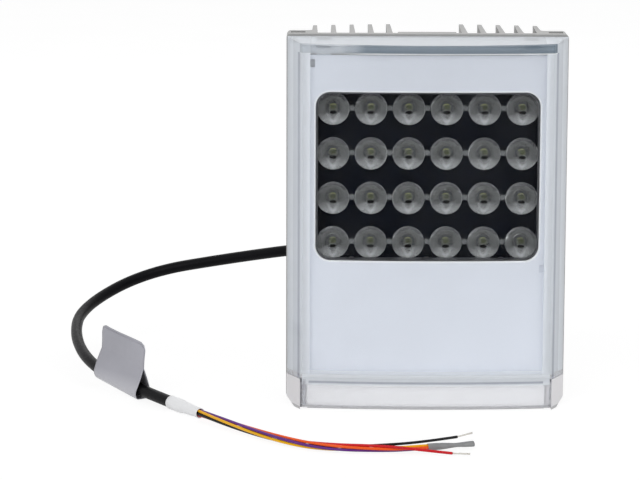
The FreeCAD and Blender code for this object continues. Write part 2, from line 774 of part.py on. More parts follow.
def make_lens_row(number, across, height):
    """One strip of moulded lenses, joined by a bar that stands on pegs."""
    strip = body(f"lens_row_{number}")
    drawing = sketch(strip, "XY_Plane", height)
    drawing.setExpression("AttachmentOffset.Base.x", bound(across[0]))
    outline(drawing, [
        ("0", LENS_FRONT), ("lens_diameter / 2", LENS_FRONT),
        ("lens_diameter / 2", f"{LENS_FRONT} + lens_rim"),
        ("lens_waist / 2", f"{LENS_FRONT} + lens_waist_depth"),
        ("lens_base / 2", LENS_BASE), ("lens_cavity / 2", LENS_BASE),
        ("lens_cavity / 2", f"{LENS_BASE} - lens_cavity_depth"), ("0", f"{LENS_BASE} - lens_cavity_depth"),
    ])
    lens = strip.newObject("PartDesign::Revolution", f"lens_{number}")
    lens.Profile = drawing
    lens.ReferenceAxis = (drawing, ["V_Axis"])
    lens.Angle = 360.0
    doc.recompute()
    line = strip.newObject("PartDesign::LinearPattern", f"lenses_{number}")
    line.Originals = [lens]
    line.Direction = (next(item for item in strip.Origin.OriginFeatures if item.Role == "X_Axis"), [""])
    line.setExpression("Length", bound("(lens_columns - 1) * lens_pitch_x"))
    line.setExpression("Occurrences", bound("lens_columns"))
    strip.Tip = line
    doc.recompute()
    drawing = upright(strip, f"{LENS_FRONT} + strip_setback + strip_depth")
    for left, right in zip(across, across[1:]):
        rectangle(drawing, f"{left} + lens_diameter / 2 - strip_overlap", f"{height} - strip_height / 2",
                  f"{right} - lens_diameter / 2 + strip_overlap", f"{height} + strip_height / 2")
    pad(strip, drawing, "strip_depth")
    drawing = upright(strip, BOARD_FRONT)
    for left in across[:-1]:
        circle(drawing, f"{left} + lens_pitch_x / 2", height, "peg_diameter")
    pad(strip, drawing, f"{BOARD_FRONT} - ({LENS_FRONT} + strip_setback + strip_depth)")
    return strip


def make_led_row(number, across, height):
    """The emitters behind one strip: square packages with a round dome."""
    leds = body(f"led_row_{number}")
    drawing = upright(leds, BOARD_FRONT)
    for centre in across:
        rectangle(drawing, f"{centre} - led_side / 2", f"{height} - led_side / 2",
                  f"{centre} + led_side / 2", f"{height} + led_side / 2")
    pad(leds, drawing, "led_base")
    drawing = upright(leds, f"{BOARD_FRONT} - led_base")
    for centre in across:
        circle(drawing, centre, height, "led_dome")
    pad(leds, drawing, "led_dome_rise")
    return leds


def make_led_board():
    board = body("led_board")
    drawing = upright(board, f"{PLATE_FRONT} - pad_thickness")
    rectangle(drawing, "-board_half_width", "array_height - board_half_height", "board_half_width",
              "array_height + board_half_height")
    for across, height in board_screws():
        circle(drawing, across, height, SCREW_HOLE)
    pad(board, drawing, "board_thickness")

    layer = body("thermal_pad")
    drawing = upright(layer, PLATE_FRONT)
    wide, tall = "(board_half_width - pad_inset)", "(board_half_height - pad_inset)"
    rectangle(drawing, f"-{wide}", f"array_height - {tall}", wide, f"array_height + {tall}")
    pad(layer, drawing, "pad_thickness")
    return [board, layer]


def make_screws(label, places, seat, length, to_rear, head="screw_head"):
    """Socket-head screws. The heads stand on the seat's near side, the shanks point the given way."""
    group = body(label)
    drawing = upright(group, seat)
    for across, height in places:
        circle(drawing, across, height, "screw_diameter")
    pad(group, drawing, length, backwards=to_rear)
    drawing = upright(group, seat)
    for across, height in places:
        circle(drawing, across, height, head)
    pad(group, drawing, "screw_head_height", backwards=not to_rear)
    face = f"{seat} - screw_head_height" if to_rear else f"{seat} + screw_head_height"
    drawing = upright(group, face)
    for across, height in places:
        hexagon(drawing, across, height, "screw_socket")
    pocket(group, drawing, "screw_socket_depth", backwards=not to_rear)
    return group


def make_ring(label, seat, thickness, places, outer, inner, backwards=False):
    """A flat ring, or one at each place. It grows to the front unless backwards."""
    ring = body(label)
    drawing = upright(ring, seat)
    for across, height in places:
        circle(drawing, across, height, outer)
        circle(drawing, across, height, inner)
    pad(ring, drawing, thickness, backwards=backwards)
    return ring


def make_driver():
    """Driver board on spacers below the lenses, with its parts."""
    board = body("driver_board")
    drawing = upright(board, DRIVER_BACK)
    rectangle(drawing, "-driver_half_width", "driver_bottom", "driver_half_width", "driver_top")
    for across, height in driver_screws():
        circle(drawing, across, height, SCREW_HOLE)
    pad(board, drawing, "board_thickness")
    spacers = make_ring("driver_spacers", PLATE_FRONT, "driver_lift", driver_screws(), "spacer_diameter",
                        SCREW_HOLE)
    made = [board, spacers]
    for label in DRIVER_PARTS:
        piece = body(label)
        drawing = upright(piece, DRIVER_FRONT)
        height = f"driver_bottom + {label}_rise"
        for index in range(int(num(f"{label}_count"))):
            across = f"{label}_first + {index} * {label}_pitch"
            if label == "smoothing_capacitors":
                circle(drawing, across, height, f"{label}_width")
            else:
                rectangle(drawing, f"{across} - {label}_width / 2", f"{height} - {label}_height / 2",
                          f"{across} + {label}_width / 2", f"{height} + {label}_height / 2")
        pad(piece, drawing, f"{label}_depth")
        made.append(piece)
    return made


def make_gland():
    """Cable gland through the rear land: body, washer, locknut, rubber seal and dome nut."""
    middle = [("0", "gland_height")]
    gland = body("gland_body")
    drawing = upright(gland, f"{GLAND_SEAT} + gland_washer")
    hexagon(drawing, *middle[0], "gland_flats")
    pad(gland, drawing, "gland_collar", backwards=True)
    drawing = upright(gland, f"{PLATE_FRONT} - gland_tail")
    circle(drawing, *middle[0], "gland_thread")
    pad(gland, drawing, f"{COLLAR_BACK} + gland_stub - ({PLATE_FRONT} - gland_tail)", backwards=True)
    drawing = upright(gland, f"{COLLAR_BACK} + gland_stub")
    circle(drawing, *middle[0], "gland_bore")
    pocket(gland, drawing, "seal_length", backwards=True)
    drawing = upright(gland, f"{COLLAR_BACK} + gland_stub")
    circle(drawing, *middle[0], "cable_diameter + cable_clearance")
    pocket(gland, drawing, backwards=True)

    washer = make_ring("gland_washer", GLAND_SEAT, "gland_washer", middle, "gland_washer_diameter",
                       "gland_thread + gland_clearance", backwards=True)
    rubber = make_ring("gland_seal", f"{COLLAR_BACK} + gland_stub", "seal_length", middle,
                       "gland_bore - cable_clearance", "cable_diameter + cable_clearance")
    lock = body("gland_locknut")
    drawing = upright(lock, PLATE_FRONT)
    hexagon(drawing, *middle[0], "gland_flats")
    circle(drawing, *middle[0], "gland_thread + gland_clearance")
    pad(lock, drawing, "locknut_thickness")

    nut = body("gland_nut")
    drawing = upright(nut, f"{COLLAR_BACK} + gland_nut_gap")
    hexagon(drawing, *middle[0], "gland_flats")
    pad(nut, drawing, "gland_nut_length", backwards=True)
    drawing = upright(nut, f"{COLLAR_BACK} + gland_nut_gap")
    circle(drawing, *middle[0], "gland_thread + gland_clearance")
    pocket(nut, drawing, "gland_nut_length - gland_mouth_wall")
    drawing = upright(nut, GLAND_MOUTH)
    circle(drawing, *middle[0], "gland_mouth")
    pocket(nut, drawing, backwards=True)
    return [gland, washer, rubber, lock, nut]


def shape_part(label, shape):
    made = doc.addObject("Part::Feature", label)
    made.Label = label
    made.Shape = shape
    return made


def arc_path(points):
    """Straight runs joined by tangent arcs, with the radii used."""
    tangents, radii = [], []
    for before, corner, after in zip(points, points[1:], points[2:]):
        back, ahead = before - corner, after - corner
        reach = 0.45 * min(back.Length, ahead.Length)
        half_turn = (math.pi - back.getAngle(ahead)) / 2
        radius = reach / math.tan(half_turn)
        inward = (back.normalize() + ahead.normalize()).normalize()
        middle = corner + inward * (radius / math.cos(half_turn) - radius)
        tangents.append((corner + back * reach, middle, corner + ahead * reach))
        radii.append(radius)
    edges, start = [], points[0]
    for first, middle, last in tangents:
        edges.append(Part.LineSegment(start, first).toShape())
        edges.append(Part.Arc(first, middle, last).toShape())
        start = last
    edges.append(Part.LineSegment(start, points[-1]).toShape())
    return Part.Wire(edges), radii


def tube(label, points, diameter):
    """A round cord along the points."""
    path, radii = arc_path(points)
    ring = Part.Circle(points[0], points[1] - points[0], diameter / 2).toShape()
    solid = path.makePipeShell([Part.Wire(ring)], True, True)
    expected = math.pi * diameter ** 2 / 4 * path.Length
    print(f"{label}: length {path.Length:.1f}, radii", [round(radius, 1) for radius in radii],
          f"volume ratio {solid.Volume / expected:.4f}")
    if abs(solid.Volume / expected - 1) > 0.01:
        raise RuntimeError(f"{label}: the tube's volume is off")
    return shape_part(label, solid)


# The cable's route, from inside the gland, round behind the left edge and forward to the jacket's end.
CABLE_ROUTE = [
    (0, -18, 58), (0, 33, 58), (-15, 86, 57), (-53, 116, 54), (-98, 138, 44), (-146, 148, 34),
    (-178, 120, 20), (-178, 72, 14), (-165, 26, 8), (-136, -13, 4), (-117, -40, 3.4),
]

# The middle of the wire bundle, from the jacket's end.
BUNDLE_ROUTE = [(-117, -40, 3.4), (-100, -64, 2.9), (-70, -102, 2.3), (-48, -117, 2.3), (-21, -117.5, 2.3)]
BUNDLE_TWIST = -63.0

# Each wire's angle round the bundle at the jacket's end, then its own tail or its angle in the splice.
WIRES = {
    "wire_black": (378.0, [(-3, -109, 3.2), (12, -101, 3.6)]),
    "wire_red": (306.0, [(-6, -120.4, 2.2), (9, -121.5, 0.9)]),
    "wire_orange": (234.0, 0.0),
    "wire_violet": (162.0, -120.0),
    "wire_yellow": (90.0, 120.0),
}
SPLICE_START = Vector(-2, -115, 2.1)
SPLICE_END = Vector(19.8, -109, 2.4)
STRAND_ENDS = {
    "strand_black": [(12, -101, 3.6), (19.1, -96.5, 4.4)],
    "strand_red": [(9, -121.5, 0.9), (17, -122.5, 0.9)],
}


def ring_offset(direction, radius, degrees):
    """A step sideways from a route: 0 degrees to the front, 90 degrees up."""
    ahead = Vector(direction).normalize()
    side = ahead.cross(Vector(0, 0, 1)).normalize()
    up = side.cross(ahead)
    angle = math.radians(degrees)
    return side * (radius * math.cos(angle)) + up * (radius * math.sin(angle))


def wire_route(start_angle, tail):
    """A wire's points: round the bundle, then its own tail or into the splice sleeve."""
    middle = [Vector(*point) for point in BUNDLE_ROUTE]
    middle[0] += (middle[1] - middle[0]).normalize() * num("wire_start_gap")
    points = []
    for index, point in enumerate(middle):
        ahead = middle[min(index + 1, len(middle) - 1)] - middle[max(index - 1, 0)]
        angle = start_angle + BUNDLE_TWIST * index
        points.append(point + ring_offset(ahead, num("bundle_radius"), angle))
    if isinstance(tail, list):
        return points + [Vector(*point) for point in tail]
    run = SPLICE_END - SPLICE_START
    entry = SPLICE_START + ring_offset(run, num("splice_wire_radius"), tail)
    run.normalize()
    return points + [entry - run * num("splice_approach"), entry + run * num("splice_grip")]


def make_cable():
    """Cable, sleeve on its end, five wires, their bare ends, the splice sleeve and the flag label."""
    points = [Vector(*point) for point in CABLE_ROUTE]
    made = [tube("power_cable", points, num("cable_diameter"))]
    for label, (angle, tail) in WIRES.items():
        made.append(tube(label, wire_route(angle, tail), num("wire_diameter")))
    for label, ends in STRAND_ENDS.items():
        start, end = [Vector(*point) for point in ends]
        strand = Part.makeCylinder(num("strand_diameter") / 2, (end - start).Length, start, end - start)
        made.append(shape_part(label, strand))
    run = SPLICE_END - SPLICE_START
    splice = Part.makeCylinder(num("splice_diameter") / 2, num("splice_length"), SPLICE_START, run)
    bore = Part.makeCylinder(num("splice_bore") / 2, num("splice_grip"), SPLICE_START, run)
    made.append(shape_part("splice_sleeve", splice.cut(bore)))

    ahead = (points[-1] - points[-2]).normalize()
    made.append(shape_part("end_sleeve", make_end_sleeve(points[-1], ahead)))
    made.append(shape_part("flag_label", make_flag(points[-3], points[-2])))
    return made


def make_end_sleeve(jacket_end, ahead):
    """Shrunk sleeve: wide over the jacket, tapering on to the wires."""
    grip, length = num("sleeve_grip"), num("sleeve_length")
    wide, narrow = num("sleeve_diameter") / 2, num("sleeve_end_diameter") / 2
    bore, throat = num("cable_diameter + cable_clearance") / 2, num("sleeve_end_bore") / 2
    corners = [(bore, -grip), (wide, -grip), (wide, 0), (narrow, length - grip - num("sleeve_end_grip")),
               (narrow, length - grip), (throat, length - grip), (throat, num("sleeve_throat")), (bore, 0)]
    polygon = Part.makePolygon([Vector(radius, 0, along) for radius, along in corners + corners[:1]])
    sleeve = Part.Face(polygon).revolve(Vector(0, 0, 0), Vector(0, 0, 1), 360)
    sleeve.Placement = FreeCAD.Placement(jacket_end, FreeCAD.Rotation(Vector(0, 0, 1), ahead))
    return sleeve


def make_flag(start, end):
    """Film folded round the cable: a teardrop loop with its two leaves standing up together."""
    film, rise, apex = num("label_film"), num("label_rise"), num("label_apex")

    def loop(radius, top):
        angle = math.acos(radius / top)
        right = Vector(radius * math.sin(angle), radius * math.cos(angle), 0)
        return right, Vector(0, -radius, 0), Vector(-right.x, right.y, 0)

    inner = num("cable_diameter / 2 + label_gap")
    right, low, left = loop(inner + film, apex + film)
    leaf = [Vector(film, rise, 0), Vector(-film, rise, 0)]
    join = apex - num("label_join")
    outer = Part.Wire([
        Part.LineSegment(leaf[1], Vector(-film, join, 0)).toShape(),
        Part.LineSegment(Vector(-film, join, 0), left).toShape(),
        Part.Arc(left, low, right).toShape(),
        Part.LineSegment(right, Vector(film, join, 0)).toShape(),
        Part.LineSegment(Vector(film, join, 0), leaf[0]).toShape(),
        Part.LineSegment(leaf[0], leaf[1]).toShape(),
    ])
    top = Vector(0, apex - num("label_fold"), 0)
    right, low, left = loop(inner, top.y)
    hole = Part.Wire([
        Part.LineSegment(top, left).toShape(), Part.Arc(left, low, right).toShape(),
        Part.LineSegment(right, top).toShape(),
    ])
    length = num("label_length")
    flag = Part.Face(outer).cut(Part.Face(hole)).extrude(Vector(0, 0, length))
    flag = flag.Solids[0] if flag.Solids else flag
    corners = [edge for edge in flag.Edges
               if all(abs(vertex.Point.y - rise) < 1e-6 for vertex in edge.Vertexes)
               and abs(edge.Vertexes[0].Point.z - edge.Vertexes[-1].Point.z) < 1e-6]
    flag = flag.makeFillet(num("label_radius"), corners)
    ahead = Vector(end - start).normalize()
    side = ahead.cross(Vector(0, 0, 1)).normalize()
    up = side.cross(ahead)
    turn = FreeCAD.Rotation(side, up, side.cross(up), "ZXY")
    foot = (start + end) / 2 + ahead * num("label_shift") - side.cross(up) * (length / 2)
    flag.Placement = FreeCAD.Placement(foot, turn)
    return flag


def make_all():
    across, heights = lens_places()
    parts = [make_housing(), make_cover(), make_seal(), make_cap(), make_fascia(), make_bezel()]
    for number, height in enumerate(heights, 1):
        parts.append(make_lens_row(number, across, height))
        parts.append(make_led_row(number, across, height))
    parts += make_led_board()
    parts.append(make_screws("led_board_screws", board_screws(), BOARD_FRONT, "board_screw_length", True))
    parts += make_driver()
    parts.append(make_screws("driver_screws", driver_screws(), DRIVER_FRONT, "driver_screw_length", True))
    rear_seat = f"{PLATE_BACK} + washer_thickness"
    parts.append(make_ring("sealing_washers", PLATE_BACK, "washer_thickness", plate_screws(),
                           f"{BAY_GAP} - 2 * fin_fillet - washer_play", SCREW_HOLE, backwards=True))
    head = f"{BAY_GAP} - rear_head_play"
    parts.append(make_screws("cover_screws", cover_screws(), rear_seat, "cover_screw_length", False, head))
    parts.append(make_screws("cap_screws", cap_screws(), rear_seat, "cap_screw_length", False, head))
    parts += make_gland()
    parts += make_cable()
    return parts


parts = make_all()
doc.recompute()
for item in doc.Objects:
    if {"Invalid", "Error"} & set(item.State):
        raise RuntimeError(f"{item.Label}: {item.State}")
os.makedirs("parts", exist_ok=True)
for item in parts:
    shape = item.Shape
    if shape.isNull() or not shape.isValid() or not shape.Solids:
        raise RuntimeError(f"{item.Label}: the shape is not valid")
    box = shape.BoundBox
    limits = [round(limit, 1) for limit in (box.XMin, box.XMax, box.YMin, box.YMax, box.ZMin, box.ZMax)]
    print(f"{item.Label}: {len(shape.Solids)} solid(s), {shape.Volume:.0f} mm3, limits {limits}")
    shape.exportStep(f"parts/{item.Label}.step")
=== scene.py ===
"""Looks of the white light illuminator. Lengths are in millimetres, and MM turns them into metres."""
import functools
import math

import bmesh
import bpy
from mathutils import Matrix, Vector


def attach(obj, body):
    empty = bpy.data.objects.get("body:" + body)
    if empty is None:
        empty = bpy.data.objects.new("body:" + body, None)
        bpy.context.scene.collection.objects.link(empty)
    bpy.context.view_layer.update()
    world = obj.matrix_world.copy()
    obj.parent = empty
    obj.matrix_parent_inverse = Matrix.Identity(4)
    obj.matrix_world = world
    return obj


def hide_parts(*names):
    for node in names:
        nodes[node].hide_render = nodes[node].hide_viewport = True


MM = 0.001
UP = Vector((0, 0, 1))
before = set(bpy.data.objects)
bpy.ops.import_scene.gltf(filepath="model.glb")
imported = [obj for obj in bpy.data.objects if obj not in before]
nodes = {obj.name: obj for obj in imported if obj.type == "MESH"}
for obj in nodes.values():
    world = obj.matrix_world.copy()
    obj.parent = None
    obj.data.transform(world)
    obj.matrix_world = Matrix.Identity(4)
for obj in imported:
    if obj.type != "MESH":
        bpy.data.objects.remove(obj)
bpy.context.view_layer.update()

CAMERA_PLACE = (-51.2, -1424.0, 323.7)
CAMERA_PITCH = 9.805
CAMERA_ROLL = 0.186
CAMERA_LENS = 166.48
SENSOR_WIDTH = 36.0
SIGHT_END = 20.0

# Places and sizes of the part that the looks follow.
LENS_PITCH = 18.0
ROW_PITCH = 21.5
LENS_COLUMNS = 6
LENS_ROWS = 4
ARRAY_HEIGHT = 113.3
LENS_FRONT = -25.0
BOW_RADIUS = 480.0
COVER_RIM = -16.6
COVER_FACE = -31.6
SHELF_FRONT = -30.6
SHELF_TOP = 17.3
FACE_HALF = 59.7
BEVEL_START = 56.0
OUTER_EDGE = 64.2
CROWN_START = 172.6
CAP_TOP = 14.9
CAP_FRONT = -24.0
BAR_TOP = 12.2
WINDOW_HALF = (53.25, 40.5)
WINDOW_RADIUS = 7.0
WINDOW_LIP = (0.4, 1.0)
FASCIA_FOOT = 20.0
FASCIA_TOP = 175.0
SLIT_PLACE = 59.4
SLIT_TOP = 36.8
NOTCH_FOOT = 163.3
CLIP_PLACE = (-55.0, 167.5)
CLIP_HALF = (1.2, 1.8)
CLIP_SOFT = 0.1

# Places of the fine lines and strips on the cover. The tongue line, the fold line, the strip by the
# tongue's left edge, the foot and the dark strip across the crown are painted shade; the glint is a painted
# highlight.
TONGUE_LINE = 13.6
TONGUE_FOOT = 1.9
LIP_HEIGHT = 16.6
LEDGE_TOP = 19.4
FOLD_LINE = 61.4
GLINT_HEIGHT = 172.4
SEAM_INSET = 3.2
SHADED_EDGE_STRIP = (0.2, 1.8)
SHADE_BAND_FADE = (-42.0, -30.0)
SHADE_BAND_LEFT = 0.4
FOLD_SHARE = 0.8

# Half-width of each fine line, and how far it fades beyond that.
LINES = {
    "seam": (0.4, 0.3),
    "glint": (0.15, 0.25),
    "lip": (0.7, 0.3),
    "fold": (0.35, 0.4),
    "slit": (0.5, 0.3),
    "seam_mottle": (0.4, 0.2),
    "arms": (0.6, 1.6),
}

# Fineness and range of the dust, of the specks in the dirt and in the mottled painted shade at the tongue's
# edge, and of the cap's dark mottling along its seams.
DUST_PATCH = 45.0
DUST = (0.001, 0.005)
SPECK_GRAIN = 900.0
DIRT_RANGE = (0.35, 1.0)
SHADED_EDGE_RANGE = (0.2, 0.8)
MOTTLE_GRAIN = 420.0
MOTTLE_RANGE = (0.4, 1.0)

# How strongly each mark veils the cover, and the tones of those that differ from its haze: dirt, painted
# shade at the edge, the crown, the lines and the foot, and a painted highlight in the glint.
COVER_HAZE = {
    "bevel": 0.6,
    "crown": 0.45,
    "joint": 0.6,
    "satin": 0.85,
    "shade_band": 0.75,
    "glint": 0.8,
    "seam": 0.6,
    "edge": 1.0,
    "foot": 0.6,
    "ledge": 0.45,
    "outer": 0.75,
    "lip": 0.85,
}
COVER_TONES = {
    "dirt": (0.58, 0.58, 0.60),
    "edge": (0.36, 0.36, 0.40),
    "shade_band": (0.16, 0.21, 0.26),
    "line": (0.41, 0.43, 0.50),
    "foot": (0.58, 0.58, 0.60),
    "glint": (0.92, 0.94, 0.97),
}

# The same for the lenses: the rim's haze and the painted highlights that add to the cloud in the moulding,
# the painted shade and painted image that cover it, and their tones.
CLOUD_PATCH = 260.0
LENS_CLOUD = (0.03, 0.07)
LENS_HAZE_AND_HIGHLIGHTS = {"rim": 0.07, "crescent": 0.24, "arms": 0.16, "bowl": 0.14}
LENS_PAINTED_COVER = {"shade_arch": 0.6, "image": 0.5, "dark": 1.0}
LENS_PAINTED_TONES = {"shade_arch": (0.12, 0.12, 0.13), "image": (0.09, 0.105, 0.03), "dark": (0.006, 0.006, 0.006)}

# Rise of each spot above its lens's middle, how many times flatter than round it is, and its radius. The
# bowl is a painted highlight, the image a painted image of the emitter and the dark spot painted shade; the
# patch is the emitter's phosphor.
SPOTS = {
    "bowl": (-2.0, 1.0, 5.0),
    "image": (0.8, 1.25, 1.9),
    "dark": (-1.7, 2.0, 2.3),
    "patch": (0.4, 1.4, 0.9),
}
SPOT_CORE = 0.7

# Radii and heights from a lens's middle at which a mark starts to show and is full.
RIM_FADE = (3.0, 5.0)
RING_FADE = (4.6, 6.0)
HEIGHT_FADES = {"crescent": (-2.5, -6.0), "arms": (-1.2, -2.6), "bowl": (-2.0, -2.9), "shade_arch": (2.0, 4.0)}
SHADE_ARCH_RADIUS = 6.3
LENS_SKIN = 0.2

# The arms, a painted highlight, rise from a foot below the lens's middle, steeper than they run out.
ARM_FOOT = -6.8
ARM_SLOPE = 1.6

# Grain of the metal, the lines along it, and how much every gloss varies.
POWDER_GRAIN = 2200.0
METAL_PATCH = 35.0
METAL_SPREAD = 0.05
EXTRUSION_STRETCH = (1.0, 1.0, 0.02)
EXTRUSION_SHARE = 0.5
GLOSS_SPREAD = 0.15

# How fine the detail in clouds and patches is, and what a clear wall lets through to its shadow.
CLOUD_DETAIL = 4.0
PATCH_DETAIL = 3.0
GRAIN_DETAIL = 2.0
SHADOW_PASS = 0.97

# Tones of the marks on the other mouldings, and where they lie: painted light, a painted highlight and
# painted shade on the fascia, painted shade and dark mottling on the cap, and painted light on the film.
FASCIA_PAINTED_LIGHT = (1.13, 0.94)
FASCIA_PAINTED_SHADE_AND_HIGHLIGHT = {"lip": (0.86, 0.87, 0.90), "clip": (0.40, 0.41, 0.44), "slit": (0.03, 0.03, 0.035)}
CAP_SEAM = 60.15
CAP_FOOT = (1.1, 1.6)
CAP_TONES = {"shaded": (0.52, 0.52, 0.53), "seam_mottle": (0.50, 0.50, 0.53)}
FILM_PAINTED_LIGHT = (0.60, 0.60, 0.64)
FILM_SHARE = 0.7
FILM_FADE = (4.0, 11.0)


def make_camera():
    data = bpy.data.cameras.new("camera")
    data.sensor_width = SENSOR_WIDTH
    data.lens = CAMERA_LENS
    data.clip_end = SIGHT_END
    camera = bpy.data.objects.new("camera", data)
    bpy.context.collection.objects.link(camera)
    pitch = Matrix.Rotation(math.radians(90 - CAMERA_PITCH), 4, "X")
    roll = Matrix.Rotation(math.radians(CAMERA_ROLL), 4, "Z")
    camera.matrix_world = Matrix.Translation(Vector(CAMERA_PLACE) * MM) @ pitch @ roll
    bpy.context.scene.camera = camera


class Graph:
    """A node tree, with short calls to add and join its nodes."""

    def __init__(self, tree):
        self.tree = tree

    def add(self, kind, inputs=None, **settings):
        made = self.tree.nodes.new("ShaderNode" + kind)
        for key, value in settings.items():
            setattr(made, key, value)
        for key, value in (inputs or {}).items():
            self.put(value, made.inputs[key])
        return made

    def put(self, value, socket):
        if isinstance(value, bpy.types.NodeSocket):
            self.tree.links.new(value, socket)
        else:
            socket.default_value = value

    def math(self, operation, first, second=0.0):
        return self.add("Math", {0: first, 1: second}, operation=operation).outputs[0]

    def times(self, *values):
        return functools.reduce(lambda one, other: self.math("MULTIPLY", one, other), values)

    def most(self, *values):
        return functools.reduce(lambda one, other: self.math("MAXIMUM", one, other), values)

    def above(self, value, limit):
        return self.math("GREATER_THAN", value, limit * MM)

    def below(self, value, limit):
        return self.math("LESS_THAN", value, limit * MM)

    def spread(self, value, low, high, start=0.35, end=0.65):
        """Low where the value is at start, high where it is at end. The ends given here suit soft noise."""
        return self.add("MapRange", {0: value, 1: start, 2: end, 3: low, 4: high}).outputs[0]

    def rise(self, value, start, end):
        """0 at start and 1 at end."""
        return self.spread(value, 0.0, 1.0, start * MM, end * MM)

    def fall(self, value, start, end):
        """1 at start and 0 at end."""
        return self.spread(value, 1.0, 0.0, start * MM, end * MM)

    def stripe(self, value, middle, half, soft):
        """1 within half of the middle, fading to 0 over soft."""
        off = self.math("ABSOLUTE", self.math("SUBTRACT", value, middle * MM))
        return self.fall(off, half, half + soft)

    def wrap(self, value, half):
        return self.add("Math", {0: value, 1: half, 2: -half}, operation="WRAP").outputs[0]

    def seen(self):
        """1 for the rays that camera, mirror and glass send out."""
        path = self.add("LightPath").outputs
        return self.most(path["Is Camera Ray"], path["Is Glossy Ray"], path["Is Transmission Ray"])


class Look(Graph):
    """A material's node tree."""

    def __init__(self, name):
        self.material = bpy.data.materials.new(name)
        self.material.use_nodes = True
        super().__init__(self.material.node_tree)
        self.shader = self.tree.nodes["Principled BSDF"]
        self.output = self.tree.nodes["Material Output"]
        self.place = self.add("TexCoord").outputs["Object"]

    def axis(self, name):
        return self.add("SeparateXYZ", {0: self.place}).outputs[name]

    def noise(self, scale, detail=GRAIN_DETAIL, vector=None):
        settings = {"Vector": vector or self.place, "Scale": scale, "Detail": detail}
        return self.add("TexNoise", settings).outputs[0]

    def mix(self, factor, first, second, blend="MIX"):
        made = self.add("Mix", data_type="RGBA", blend_type=blend)
        for place, value in ((0, factor), (6, rgba(first)), (7, rgba(second))):
            self.put(value, made.inputs[place])
        return made.outputs[2]

    def dim(self, tone, factor):
        grey = self.add("CombineColor", {0: factor, 1: factor, 2: factor}).outputs[0]
        return self.mix(1.0, tone, grey, "MULTIPLY")

    def bump(self, height, distance):
        return self.add("Bump", {"Height": height, "Distance": distance}).outputs["Normal"]

    def tone(self):
        """What colours the shader so far."""
        return self.shader.inputs["Base Color"].links[0].from_socket

    def stain(self, tone, marks, tones):
        """Lays each mark in its own tone over the first tone."""
        for name, color in tones.items():
            tone = self.mix(marks[name], tone, color)
        return tone

    def patchy(self, color, spread, scale, detail=PATCH_DETAIL):
        """A colour that varies in soft patches."""
        patches = self.spread(self.noise(scale, detail), 0.0, 1.0)
        return self.mix(patches, shade(color, 1 - spread), shade(color, 1 + spread))

    def gloss(self, fine, rough):
        """Roughness that varies a little with the grain."""
        return self.spread(fine, rough * (1 - GLOSS_SPREAD), rough * (1 + GLOSS_SPREAD))

    def set(self, **sockets):
        for key, value in sockets.items():
            self.put(value, self.shader.inputs[key.replace("_", " ")])
        return self

    def show(self, surface):
        self.put(surface, self.output.inputs["Surface"])
        return self.material


def rgba(color):
    return (*color, 1.0) if isinstance(color, (tuple, list)) and len(color) == 3 else color


def shade(color, factor):
    return tuple(min(1.0, part * factor) for part in color)


def surface(*values, **settings):
    return surface_look(*values, **settings).material


def surface_look(name, color, rough, metal=0.0, spread=0.05, patch=60.0, grain=1500.0, relief=0.02,
                 **sockets):
    """Colour that varies in soft patches, with a fine grain in its gloss and relief."""
    look = Look(name)
    fine = look.noise(grain)
    look.set(Base_Color=look.patchy(color, spread, patch), Metallic=metal)
    return look.set(Roughness=look.gloss(fine, rough), Normal=look.bump(fine, relief * MM), **sockets)


def paint(material, *names):
    for name in names:
        slots = nodes[name].material_slots
        if not slots:
            nodes[name].data.materials.append(material)
        for slot in slots:
            slot.link = "OBJECT"
            slot.material = material


def link(name, data, *materials):
    made = bpy.data.objects.new(name, data)
    bpy.context.collection.objects.link(made)
    for material in materials:
        data.materials.append(material)
    return made


def from_bmesh(name, mesh, *materials, smooth=True):
    data = bpy.data.meshes.new(name)
    bmesh.ops.recalc_face_normals(mesh, faces=mesh.faces)
    mesh.to_mesh(data)
    mesh.free()
    for face in data.polygons:
        face.use_smooth = smooth
    return link(name, data, *materials)


def at(place, ahead):
    """Matrix at a place, whose z runs ahead and whose y is as near as it can be to up."""
    z = ahead.normalized()
    x = UP.cross(z).normalized()
    turn = Matrix((x, z.cross(x), z)).transposed().to_4x4()
    return Matrix.Translation(Vector(place) * MM) @ turn


def loft(mesh, rings, close=False):
    """Skins lists of points, all of one length, into a tube that is closed on itself or capped."""
    rows = [[mesh.verts.new(point) for point in points] for points in rings]
    pairs = list(zip(rows, rows[1:]))
    if close:
        pairs.append((rows[-1], rows[0]))
    for one, other in pairs:
        for index in range(len(one)):
            after = (index + 1) % len(one)
            mesh.faces.new((one[index], one[after], other[after], other[index]))
    if not close:
        mesh.faces.new(rows[0])
        mesh.faces.new(rows[-1])


def ring(matrix, along, radius, flat=1.0, count=32):
    """A round or flattened ring about the matrix's z, in metres."""
    points = []
    for step in range(count):
        angle = math.tau * step / count
        local = Vector((radius / flat * math.cos(angle), radius * flat * math.sin(angle), along)) * MM
        points.append(matrix @ local)
    return points


# The cable's and the bundle's points are those of the part's source.
CABLE_ROUTE = [
    (0, -18, 58), (0, 33, 58), (-15, 86, 57), (-53, 116, 54), (-98, 138, 44), (-146, 148, 34),
    (-178, 120, 20), (-178, 72, 14), (-165, 26, 8), (-136, -13, 4), (-117, -40, 3.4),
]
BUNDLE_ROUTE = [(-117, -40, 3.4), (-100, -64, 2.9), (-70, -102, 2.3), (-48, -117, 2.3), (-21, -117.5, 2.3)]
BUNDLE_TWIST = -63.0
BUNDLE_RADIUS = 1.45
WIRE_START_GAP = 0.4
SPLICE_START = Vector((-2, -115, 2.1))
SPLICE_END = Vector((19.8, -109, 2.4))
SPLICE_APPROACH = 4.0
SPLICE_GRIP = 7.0
SPLICE_WIRE_RADIUS = 0.78

